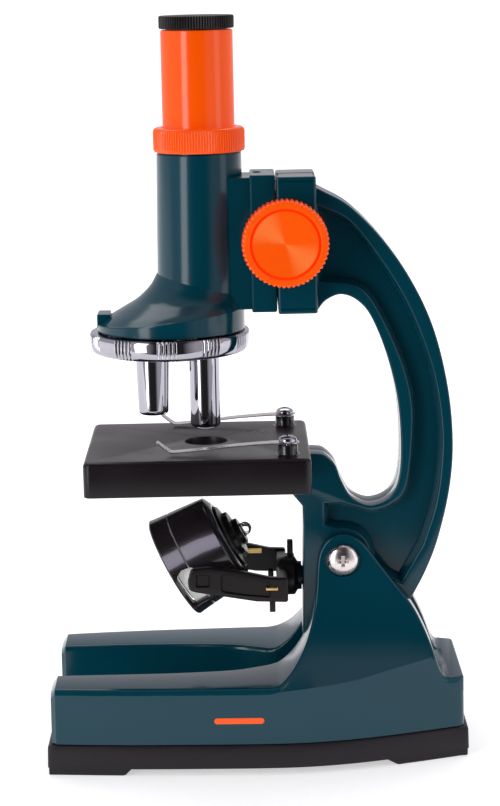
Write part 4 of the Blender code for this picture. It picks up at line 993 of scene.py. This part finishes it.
def nosepiece_surface():
    """Plated disc with a rounded rim, groups of grooves and a dished top."""
    low, radius, top = TURRET_AXIS[2], 24.4, 130.6
    profile = [(2.2, low), (20.2, low), (22.0, low + 0.12), (23.2, low + 0.5), (23.9, low + 1.2),
               (24.2, low + 2.2), (radius, low + 3.6), (radius, top - 1.1), (24.3, top - 0.5),
               (24.0, top - 0.12), (23.5, top), (21.8, top), (21.8, 127.1), (2.2, 127.1)]
    shares = [0, 0, 0, 0, 0.35, 0.9, 1, 1, 1, 0.6, 0.2, 0, 0, 0]
    return turned(profile, (TURRET_AXIS[0], 0, 0), UP, 1440, grouped_grooves(11, 5, 0.42), shares,
                  True)


def objective_surface(name, top_radius, low_radius, longer):
    """Plated barrel with a rounded nose, from its neck in the turret down to its lens hole. It
    may be a little longer than its solid."""
    low, _ = box_of("objective_" + name)
    x, y, _ = middle_of("objective_" + name)
    z = low[2] - longer
    profile = [(2.6, 129.2), (3.6, 129.2), (3.7, 129.1), (3.7, 123.8), (top_radius, 123.8),
               (top_radius, 121.4), (low_radius, z + 1.5), (low_radius - 0.08, z + 0.95),
               (low_radius - 0.3, z + 0.45), (low_radius - 0.75, z + 0.1),
               (low_radius - 1.2, z), (2.1, z), (1.9, z + 0.2), (1.9, z + 1.4), (2.6, z + 1.4)]
    return turned(profile, (x, y, 0), UP, 96, closed=True)


def knob_surface(axes, teeth):
    """Scalloped grip with a groove round a dished face.

    The face falls in a shallow cone towards its middle, under fine turned rings of height
    ring_depth * cos(2 pi r / ring_pitch)."""
    near, far, dish_r = 13.2, 23.0, 9.75
    ring_pitch, ring_depth = 0.5, 0.008
    ring = np.linspace(0, dish_r, 200)
    face = far - 0.55 - 0.9 * (1 - ring / dish_r) + ring_depth * np.cos(2 * pi * ring / ring_pitch)
    dish = np.vstack([np.column_stack([ring, face]), [(dish_r, far - 2.9), (0, far - 2.9)]])
    grip = np.array([(0, far - 2.6), (9.7, far - 2.6), (10.2, far - 2.5), (10.5, far - 2.3),
                     (10.6, far - 0.35), (10.85, far - 0.1), (12.1, far - 0.02),
                     (12.45, far - 0.12), (12.8, far - 0.45), (12.95, far - 0.95),
                     (12.95, near + 2.6), (12.8, near + 2.2), (12.3, near + 1.9),
                     (11.6, near + 1.8), (11.2, far - 3.4), (5.0, far - 3.4),
                     (4.4, near + 0.2), (0, near + 0.2)])
    shares = np.zeros(len(grip))
    shares[6:13] = (0.1, 0.6, 0.95, 1, 1, 0.8, 0.3)
    centre = (KNOB_AXIS[0], 0, KNOB_AXIS[2])
    surface = turned(grip, centre, axes, teeth * 10, knurl(teeth, 0.7, 0.7), shares)
    return surface.join(turned(dish, centre, axes, 128))


# ---------------------------------------------------------------- lamp and mirror

DRUM_LEAN = radians(28.5)
DRUM_FRONT = np.array((-25.4, 0.0, 55.7))
DRUM_LONG, DRUM_MIRROR_R, DRUM_LAMP_R = 18.8, 16.35, 14.6
DRUM_AXES = np.array([(-sin(DRUM_LEAN), 0, cos(DRUM_LEAN)), (0, -1, 0),
                      (cos(DRUM_LEAN), 0, sin(DRUM_LEAN))])


def drum_radius(height):
    """Radius of the drum's cone at a height behind its mirror."""
    return DRUM_MIRROR_R + (DRUM_LAMP_R - DRUM_MIRROR_R) * height / DRUM_LONG


def drum_turned(profile, segments=128, closed=True):
    """Surface of revolution about the drum's own axis, from its mirror's end."""
    return turned(profile, DRUM_FRONT, DRUM_AXES, segments, closed=closed)


def drum_bites():
    """Tools for the openings in the drum's sides, rounded outlines carried along Y."""
    bite = eased([(-12.0, 1.5), (0.2, 1.5), (1.5, 3.8), (0.9, 7.0), (-4.6, 9.4), (-12.0, 8.4)],
                 [0, 1.1, 0.9, 1.2, 1.6, 0], 5)
    outline = bite @ DRUM_AXES[[0, 2]][:, [0, 2]] + DRUM_FRONT[[0, 2]]
    return [plate(outline, 9, 30, 0.02, NEAR), plate(outline * (1, -1), 9, 30, 0.02, FAR)]


def housing_surface():
    """Rear shell of the drum: a thin cone with a rounded shoulder and an inner step, and the two
    pins that it turns on."""
    seam, back = 6.4, DRUM_LONG
    wide = drum_radius(back)
    profile = [(drum_radius(seam) - 1.6, seam), (drum_radius(seam) - 0.28, seam),
               (drum_radius(seam) - 0.02, seam + 0.2), (drum_radius(12), 12.0),
               (wide + 0.04, back - 0.9), (wide - 0.05, back - 0.6), (wide - 0.25, back - 0.4),
               (11.9, back + 0.9), (11.5, back + 1.0), (10.9, back + 0.9),
               (10.7, back), (8.4, back), (8.2, back - 0.2), (8.2, back - 1.8),
               (wide - 1.8, back - 1.8)]
    surface = drum_turned(profile)
    pin = [(0, 13.0), (2.6, 13.0), (2.6, 18.0), (2.3, 18.3), (0, 18.3)]
    for axes in (FAR, NEAR):
        surface.join(turned(pin, (DRUM_PIVOT[0], 0, DRUM_PIVOT[2]), axes, 48))
    return surface


def bezel_surface():
    """Front ring that holds the mirror, with a thin rounded lip."""
    seam = 6.1
    profile = [(12.2, 0.25), (12.45, 0.0), (DRUM_MIRROR_R - 0.8, 0.0),
               (DRUM_MIRROR_R - 0.3, 0.12), (DRUM_MIRROR_R, 0.55), (drum_radius(3), 3.0),
               (drum_radius(seam), seam - 0.1), (drum_radius(seam) - 0.1, seam),
               (14.0, seam), (14.0, 1.6), (13.0, 1.0), (12.2, 1.0)]
    return drum_turned(profile)


def liner_surface():
    """Thin turned cup that holds the mirror."""
    profile = [(13.6, 1.9), (13.6, 5.0), (12.7, 9.6), (11.9, 9.6), (12.6, 4.0), (11.0, 4.0),
               (11.0, 3.0), (12.8, 3.0), (12.8, 1.9)]
    return drum_turned(profile, 96)


def mirror_surface():
    """Flat disc with a chamfered edge."""
    return drum_turned([(0, 1.3), (12.2, 1.3), (12.55, 1.55), (12.55, 2.7), (0, 2.7)], 96, False)


def holder_surface():
    """Stepped cap with a scalloped flange and a socket for the lamp."""
    back = DRUM_LONG
    profile = [(2.4, back - 1.4), (7.8, back - 1.4), (7.8, back + 0.2), (10.2, back + 0.3),
               (10.4, back + 0.5), (10.4, back + 1.5), (10.1, back + 1.8), (8.0, back + 2.0),
               (7.6, back + 2.3), (7.5, back + 3.5), (7.1, back + 3.8), (5.4, back + 3.9),
               (4.4, back + 4.1), (4.2, back + 5.3), (3.9, back + 5.6), (2.4, back + 5.6)]
    shares = np.zeros(len(profile))
    shares[9:12] = 1
    return turned(profile, DRUM_FRONT, DRUM_AXES, 192, knurl(16, 0.35, 2), shares, True)


def bulb_surface():
    """Cylinder under a half sphere."""
    radius, foot, middle = 2.1, DRUM_LONG - 0.4, DRUM_LONG + 6.5
    angle = np.linspace(0, pi / 2, 9)
    dome = np.column_stack([radius * np.cos(angle), middle + radius * np.sin(angle)])
    return drum_turned(np.vstack([[(0, foot), (radius, foot)], dome]), 48, False)


def sliver_surface():
    """The end of the near contact leaf, folded out through the cheek beside the hub."""
    x, z = FORK_AXIS[0], FORK_AXIS[2]
    return block((x - 5.1, -19.75, z + 0.5), (x - 1.5, -19.2, z + 1.5), 0.2)


def fork_surface():
    """Two cheeks, each with a sunk panel and a sunk window, a cross bar, a hub on a shaft, a peg
    above the hub and one under each cheek."""
    z = FORK_AXIS[2]
    low, high = 17.2, 19.4
    cheek = eased([(9.6, z - 3.4), (9.6, z + 4.2), (4.4, z + 4.4), (-4, z + 6.4),
                   (-14.5, z + 7.9), (-19.8, z + 7.4), (-20.8, z + 3.6), (-20.4, z + 0.9),
                   (-18.4, z + 0.2), (-8.0, z - 1.6), (0, z - 3.0)],
                  [0.8, 0.8, 4, 6, 3, 1.6, 3, 1.4, 1.5, 6, 4], 5)
    recess = eased([(4.2, z - 1.7), (4.2, z + 2.9), (-4, z + 4.8), (-10.6, z + 6.0),
                    (-10.6, z + 0.3), (-4, z - 0.9)], [0.6, 0.8, 4, 0.8, 0.8, 3], 4)
    window = eased(oblong(-18.2, z + 1.9, -14.2, z + 5.6), 0.35, 3)
    inset, drop = rounding(0.5)
    wall_levels = [(0.1, low), (0.0, low + 0.15)]
    wall_levels += [(i, high - d) for i, d in zip(inset[::-1], drop[::-1])]
    sunk_levels = [(-0.12, high), (0.0, high - 0.15), (0.25, high - 0.75)]
    surface = Surface()
    for side, _, axes in reversed(SIDES):
        upright = (1, -side)
        wall = stack_of(cheek * upright, wall_levels, axes)
        rows = [stack_of(shape * upright, sunk_levels, axes) for shape in (recess, window)]
        surface.grid(wall).flat(wall[0]).flat(wall[-1], rows[0][0], rows[1][0])
        for row in rows:
            surface.grid(row).flat(row[-1])
    bar_low, bar_high = 6.4, 9.6
    block((bar_low, -high + 0.2, z - 3.2), (bar_high, high - 0.2, z + 3.6), 0.7, surface)
    hub = np.array([(0, bar_low + 0.2), (4.6, bar_low + 0.2), (5.7, bar_low + 0.8),
                    (6.0, bar_low + 1.4), (6.0, 11.8), (5.7, 12.2), (4.5, 12.9), (4.4, 13.2),
                    (4.4, 14.1), (3.0, 14.1), (3.0, 18.4), (2.8, 18.6), (0, 18.6)])
    surface.join(turned(hub, (0, 0, z), REAR, 64))
    block((9.8, -1.1, z + 4.4), (11.6, 1.1, z + 11.4), 0.4, surface)
    block((8.6, -2.6, z + 3.2), (12.0, 2.6, z + 6.6), 0.5, surface)
    for side in (1, -1):
        y0, y1 = sorted((side * (high - 2.2), side * (high - 0.1)))
        block((3.9, y0, z - 6.4), (5.7, y1, z - 2), 0.35, surface)
    return surface


# ---------------------------------------------------------------- settings

class MicroscopeColours(bpy.types.PropertyGroup):
    """Colours of the moulded plastics."""
    teal: bpy.props.FloatVectorProperty(
        name="Teal", description="Base, arm and tube", subtype="COLOR",
        default=(0.0004, 0.047, 0.072), min=0, max=1)
    orange: bpy.props.FloatVectorProperty(
        name="Orange", description="Draw tube, collar and knobs", subtype="COLOR",
        default=(1.0, 0.095, 0.001), min=0, max=1)
    black: bpy.props.FloatVectorProperty(
        name="Black", description="Fork, holder and hidden fittings", subtype="COLOR",
        default=(0.008, 0.006, 0.006), min=0, max=1)


class MicroscopeGrips(bpy.types.PropertyGroup):
    """Ridges on the pieces that fingers turn."""
    eyepiece_ribs: bpy.props.IntProperty(
        name="Eyepiece ribs", description="Ribs round the eyepiece ring", default=84, min=24)
    collar_ribs: bpy.props.IntProperty(
        name="Collar ribs", description="Fine ribs round the zoom collar", default=100, min=24)
    knob_teeth: bpy.props.IntProperty(
        name="Knob teeth", description="Scallops round a focus knob", default=54, min=12)


class MicroscopeStudio(bpy.types.PropertyGroup):
    """Camera and lights."""
    lens: bpy.props.FloatProperty(
        name="Lens", description="Focal length", default=104.68, min=20, subtype="DISTANCE_CAMERA")
    distance: bpy.props.FloatProperty(
        name="Camera distance", description="From the aim to the camera", default=0.719,
        min=0.1, unit="LENGTH")
    elevation: bpy.props.FloatProperty(
        name="Elevation", description="Camera above the horizon", default=radians(10.75),
        subtype="ANGLE")
    roll: bpy.props.FloatProperty(
        name="Roll", description="Turn of the camera about its line of sight",
        default=radians(1.17), subtype="ANGLE")
    key_power: bpy.props.FloatProperty(
        name="Key power", description="Tall soft light at the right", default=0.6, min=0,
        unit="POWER")
    strip_power: bpy.props.FloatProperty(
        name="Strip power", description="Narrow light at the left", default=2.8, min=0,
        unit="POWER")
    top_power: bpy.props.FloatProperty(
        name="Top power", description="Broad light above", default=2.6, min=0, unit="POWER")
    card_power: bpy.props.FloatProperty(
        name="Card power", description="Card that only lights the drum", default=0.6,
        min=0, unit="POWER")
    dark: bpy.props.FloatProperty(
        name="Opening", description="Brightness of the tent's opening", default=0.03, min=0)
    light: bpy.props.FloatProperty(
        name="Tent", description="Brightness of the white tent", default=0.60, min=0)
    backdrop: bpy.props.FloatProperty(
        name="Backdrop", description="Brightness seen past the floor", default=1.2, min=0)


# ---------------------------------------------------------------- operators

class MICROSCOPE_OT_finishes(bpy.types.Operator):
    """Make every material and give it to the solids that stay"""
    bl_idname = "microscope.finishes"
    bl_label = "Finishes"

    def execute(self, context):
        make_finishes(context.scene.microscope_colours)
        finish_plain_nodes()
        return {"FINISHED"}


class MICROSCOPE_OT_base(bpy.types.Operator):
    """Build the base shell, its tray, its stripe and the tilt screw"""
    bl_idname = "microscope.base"
    bl_label = "Base"

    def execute(self, context):
        shell = add_piece("base_shell", base_shell(), "base", FINISHES["teal"],
                          ["base_housing"], sharp=28)
        carve(shell, *[screw_seat(side, axes) for side, _, axes in reversed(SIDES)])
        add_piece("base_pan", base_pan(), "base", FINISHES["tray_black"],
                  ["base_tray"])
        add_piece("side_emblem", stripe(), "base", FINISHES["orange"])
        centre = (PIVOT[0], -10.5, PIVOT[2])
        head = screw_head(centre, NEAR, TILT_SCREW_R, TILT_SCREW_HIGH, (2.0, 23.4))
        screw = add_piece("tilt_screw", head, "base", FINISHES["nickel"],
                          ["pivot_screw"])
        carve(screw, *cross_cuts(centre, NEAR, TILT_SCREW_R, TILT_SCREW_HIGH, 1.5))
        return {"FINISHED"}


class MICROSCOPE_OT_arm(bpy.types.Operator):
    """Build the two moulded halves of the arm"""
    bl_idname = "microscope.arm"
    bl_label = "Arm"

    def execute(self, context):
        for side, name, axes in SIDES:
            add_piece("arm_shell_" + name, arm_half(side, axes), "arm",
                      FINISHES["teal"], ["arm_half_" + name])
        return {"FINISHED"}


class MICROSCOPE_OT_stage(bpy.types.Operator):
    """Build the specimen table, its posts, clips and screws"""
    bl_idname = "microscope.stage"
    bl_label = "Stage"

    def execute(self, context):
        table = add_piece("stage_table", stage_surface(), "arm",
                          FINISHES["stage_black"], ["stage"])
        low, high = box_of("stage")
        carve(table, block((high[0] - 5, -7.3, low[2] - 3), (high[0] + 3, 7.3, STAGE_CEILING), 0.3))
        for _, name, _ in SIDES:
            x, y, _ = joint_place(f"clip_{name}_swivel")
            add_piece("clip_post_" + name, clip_post(name), "arm",
                      FINISHES["black_gloss"])
            add_piece("slide_clip_" + name, clip_surface(name), "clip_" + name,
                      FINISHES["steel"], ["clip_" + name])
            centre = (x, y, POST_SCREW_Z)
            head = screw_head(centre, UP, POST_SCREW_R, POST_SCREW_HIGH, (1.05, 6.0))
            screw = add_piece("post_screw_" + name, head, "arm", FINISHES["chrome"],
                              ["clip_screw_" + name])
            carve(screw, *cross_cuts(centre, UP, POST_SCREW_R, POST_SCREW_HIGH, 0.9))
        return {"FINISHED"}


class MICROSCOPE_OT_tube(bpy.types.Operator):
    """Build the body tube with its flare and carriage, the draw tube, collar and eyepiece"""
    bl_idname = "microscope.tube"
    bl_label = "Tube"

    def execute(self, context):
        grips = context.scene.microscope_grips
        add_piece("tube_body", tube_surface(), "carriage", FINISHES["teal"],
                  ["body_tube"], sharp=12)
        add_piece("draw_sleeve", drawtube_surface(), "drawtube",
                  FINISHES["orange"], ["drawtube"])
        add_piece("collar_ring", collar_surface(grips.collar_ribs), "collar",
                  FINISHES["orange"], ["zoom_collar"])
        add_piece("eyepiece_ring", eyepiece_surface(grips.eyepiece_ribs), "eyepiece",
                  FINISHES["black_ribbed"], ["eyepiece"])
        return {"FINISHED"}


class MICROSCOPE_OT_turret(bpy.types.Operator):
    """Build the nosepiece and its three objectives"""
    bl_idname = "microscope.turret"
    bl_label = "Turret"

    def execute(self, context):
        add_piece("turret_disc", nosepiece_surface(), "turret", FINISHES["chrome"],
                  ["nosepiece"])
        sizes = (("long", 4.65, 4.65, 0), ("medium", 5.0, 4.6, 1.2), ("short", 4.85, 4.4, 0))
        for name, top, low, longer in sizes:
            add_piece("barrel_" + name, objective_surface(name, top, low, longer), "turret",
                      FINISHES["chrome"], ["objective_" + name])
        return {"FINISHED"}


class MICROSCOPE_OT_focus(bpy.types.Operator):
    """Build the two focus knobs"""
    bl_idname = "microscope.focus"
    bl_label = "Focus knobs"

    def execute(self, context):
        teeth = context.scene.microscope_grips.knob_teeth
        for _, name, axes in SIDES:
            add_piece("knob_grip_" + name, knob_surface(axes, teeth), "focus",
                      FINISHES["orange_turned_painted_sheen"], ["focus_knob_" + name])
        return {"FINISHED"}


class MICROSCOPE_OT_lamp(bpy.types.Operator):
    """Build the drum with its mirror and lamp, and the fork that carries it"""
    bl_idname = "microscope.lamp"
    bl_label = "Lamp"

    def execute(self, context):
        gloss = FINISHES["black_gloss"]
        bites = drum_bites()
        shell = add_piece("drum_shell", housing_surface(), "lamp", gloss,
                          ["lamp_housing"])
        carve(shell, *bites)
        front = add_piece("drum_front", bezel_surface(), "lamp", gloss,
                          ["mirror_bezel"])
        carve(front, *bites)
        add_piece("liner_cup", liner_surface(), "lamp", FINISHES["white"],
                  ["mirror_liner"])
        add_piece("mirror_disc", mirror_surface(), "lamp", FINISHES["mirror"],
                  ["mirror_glass"])
        add_piece("holder_cap", holder_surface(), "lamp", FINISHES["black"],
                  ["lamp_holder"])
        add_piece("bulb_dome", bulb_surface(), "lamp", FINISHES["glass"],
                  ["lamp_bulb"])
        add_piece("drum_fork", fork_surface(), "fork", FINISHES["black"],
                  ["lamp_fork"])
        add_piece("leaf_end", sliver_surface(), "fork", FINISHES["brass"])
        return {"FINISHED"}


def soft_light(name, place, aim, size, power, colour=(1, 1, 1)):
    """Rectangular light, turned from its place towards an aim."""
    data = bpy.data.lights.new(name, "AREA")
    data.shape, data.size, data.size_y = "RECTANGLE", size[0], size[1]
    data.energy, data.color = power, colour
    item = bpy.data.objects.new(name, data)
    bpy.context.scene.collection.objects.link(item)
    away = Vector(place) - Vector(aim)
    turn = away.to_track_quat("Z", "Y").to_matrix().to_4x4()
    item.matrix_world = Matrix.Translation(place) @ turn
    return item


def only_on(light, names):
    """Keeps a light on a few objects, with nothing in its way."""
    lit = bpy.data.collections.new(light.name + "_lit")
    for name in names:
        lit.objects.link(bpy.data.objects[name])
    light.light_linking.receiver_collection = lit
    light.light_linking.blocker_collection = bpy.data.collections.new(light.name + "_blockers")


def studio_floor():
    """Pale flat sheet under the object, whose near edge is rounded down by a quarter circle."""
    near, far, half, edge = -0.24, 2.6, 2.6, 0.02
    angle = np.linspace(pi / 2, 0, 6)
    x = np.linspace(-half, half, 9)
    y = np.concatenate([near - edge * np.sin(angle), [0.0, 0.5, far]])
    z = np.concatenate([-edge * (1 - np.cos(angle)), [0.0, 0.0, 0.0]])
    grid = np.stack(np.broadcast_arrays(x[None], y[:, None], z[:, None]), -1)
    rows, columns = grid.shape[:2]
    cell = np.arange(rows * columns).reshape(rows, columns)
    quads = np.stack([cell[:-1, :-1], cell[:-1, 1:], cell[1:, 1:], cell[1:, :-1]], -1)
    data = bpy.data.meshes.new("studio_floor")
    data.from_pydata(grid.reshape(-1, 3), [], quads.reshape(-1, 4).tolist())
    data.polygons.foreach_set("use_smooth", [True] * len(data.polygons))
    return data


def surround(name, dark, light, backdrop):
    """Surroundings that light the object like a white tent with a tall dark opening towards -Y:
    the brightness rises with the greater of |X| and Y + 0.75 of the direction. What the camera
    sees past the floor is the backdrop."""
    world = bpy.data.worlds.new(name)
    world.use_nodes = True
    tree = world.node_tree
    background = tree.nodes["Background"]
    background.inputs["Color"].default_value = (0.97, 0.94, 1.0, 1)
    split = tree.nodes.new("ShaderNodeSeparateXYZ")
    coordinates = tree.nodes.new("ShaderNodeTexCoord")
    tree.links.new(coordinates.outputs["Generated"], split.inputs["Vector"])
    aside = maths(tree, "ABSOLUTE", split.outputs["X"])
    behind = maths(tree, "ADD", split.outputs["Y"], 0.75)
    tent = spread(tree, maths(tree, "MAXIMUM", aside, behind), dark, light, 0.34, 0.60)
    sight = tree.nodes.new("ShaderNodeLightPath")
    choice = tree.nodes.new("ShaderNodeMix")
    choice.inputs["B"].default_value = backdrop
    tree.links.new(sight.outputs["Is Camera Ray"], choice.inputs["Factor"])
    tree.links.new(tent, choice.inputs["A"])
    tree.links.new(choice.outputs["Result"], background.inputs["Strength"])
    return world


def pale_floor():
    """White sheet with a faint cloud, which glows more the further it is from the object."""
    finish, tree, shader, place = nodes_for("pale_floor")
    cloud = noise(tree, place, 6, 2)
    tree.links.new(tint(tree, cloud, (0.90, 0.90, 0.90), 0.02), shader.inputs["Base Color"])
    shader.inputs["Roughness"].default_value = 0.9
    shader.inputs["Emission Color"].default_value = (1, 1, 1, 1)
    reach = tree.nodes.new("ShaderNodeVectorMath")
    reach.operation = "LENGTH"
    tree.links.new(place, reach.inputs["Vector"])
    tree.links.new(spread(tree, reach.outputs["Value"], 0.52, 0.85, 0.25, 0.8),
                   shader.inputs["Emission Strength"])
    return finish


def soft_lights(studio):
    """A tall light at each side, a broad one above, and the card that only lights the drum."""
    aim, drum_aim = (0, 0, 0.11), (-0.014, -0.014, 0.066)
    soft_light("key_right", (0.74, -0.30, 0.30), aim, (0.26, 0.7), studio.key_power)
    soft_light("strip_left", (-0.52, -0.58, 0.22), aim, (0.24, 0.8), studio.strip_power)
    soft_light("top", (0.0, 0.35, 0.85), aim, (0.9, 0.4), studio.top_power)
    card = soft_light("drum_card", (-0.056, -0.284, 0.195), drum_aim, (0.25, 0.16),
                      studio.card_power, (0.86, 0.80, 1.0))
    card.visible_camera = False
    only_on(card, ["drum_shell", "drum_front"])


CAMERA_YAW, CAMERA_AIM = radians(0.13), Vector((-0.00076, 0, 0.10724))


def studio_camera(studio):
    """Camera at a distance from its aim, above the horizon and rolled a little."""
    camera = bpy.data.objects.new("camera", bpy.data.cameras.new("camera"))
    bpy.context.scene.collection.objects.link(camera)
    camera.data.lens = studio.lens
    camera.data.clip_start, camera.data.clip_end = 0.01, 20
    yaw, tip, roll = CAMERA_YAW, studio.elevation, studio.roll
    sight = Vector((sin(yaw) * cos(tip), cos(yaw) * cos(tip), -sin(tip)))
    level = Vector((cos(yaw), -sin(yaw), 0))
    upward = level.cross(sight)
    right = level * cos(roll) - upward * sin(roll)
    upright = level * sin(roll) + upward * cos(roll)
    camera.matrix_world = Matrix((right, upright, -sight)).transposed().to_4x4()
    camera.matrix_world.translation = CAMERA_AIM - sight * studio.distance
    return camera


class MICROSCOPE_OT_studio(bpy.types.Operator):
    """Set the camera, the soft lights and the pale floor"""
    bl_idname = "microscope.studio"
    bl_label = "Studio"

    def execute(self, context):
        studio = context.scene.microscope_studio
        floor = bpy.data.objects.new("studio_floor", studio_floor())
        context.scene.collection.objects.link(floor)
        floor.data.materials.append(pale_floor())
        context.scene.world = surround("white_tent", studio.dark, studio.light, studio.backdrop)
        context.scene.view_settings.view_transform = "Standard"
        soft_lights(studio)
        context.scene.camera = studio_camera(studio)
        return {"FINISHED"}


STEPS = (MICROSCOPE_OT_finishes, MICROSCOPE_OT_base, MICROSCOPE_OT_arm, MICROSCOPE_OT_stage,
         MICROSCOPE_OT_tube, MICROSCOPE_OT_turret, MICROSCOPE_OT_focus, MICROSCOPE_OT_lamp,
         MICROSCOPE_OT_studio)
GROUPS = {"microscope_colours": MicroscopeColours, "microscope_grips": MicroscopeGrips,
          "microscope_studio": MicroscopeStudio}


class MICROSCOPE_PT_sidebar(bpy.types.Panel):
    """The settings and the steps, in order"""
    bl_idname = "MICROSCOPE_PT_sidebar"
    bl_label = "Toy microscope"
    bl_space_type = "VIEW_3D"
    bl_region_type = "UI"
    bl_category = "Microscope"

    def draw(self, context):
        for key in GROUPS:
            settings = getattr(context.scene, key)
            column = self.layout.column()
            for name in settings.__annotations__:
                column.prop(settings, name)
        for step in STEPS:
            self.layout.operator(step.bl_idname)


CLASSES = (*GROUPS.values(), *STEPS, MICROSCOPE_PT_sidebar)


def register():
    for item in CLASSES:
        bpy.utils.register_class(item)
    for key, group in GROUPS.items():
        setattr(bpy.types.Scene, key, bpy.props.PointerProperty(type=group))


def unregister():
    for key in GROUPS:
        delattr(bpy.types.Scene, key)
    for item in reversed(CLASSES):
        bpy.utils.unregister_class(item)


def main():
    """Runs every step."""
    register()
    for step in STEPS:
        group, name = step.bl_idname.split(".")
        getattr(getattr(bpy.ops, group), name)()


if __name__ == "__main__":
    main()
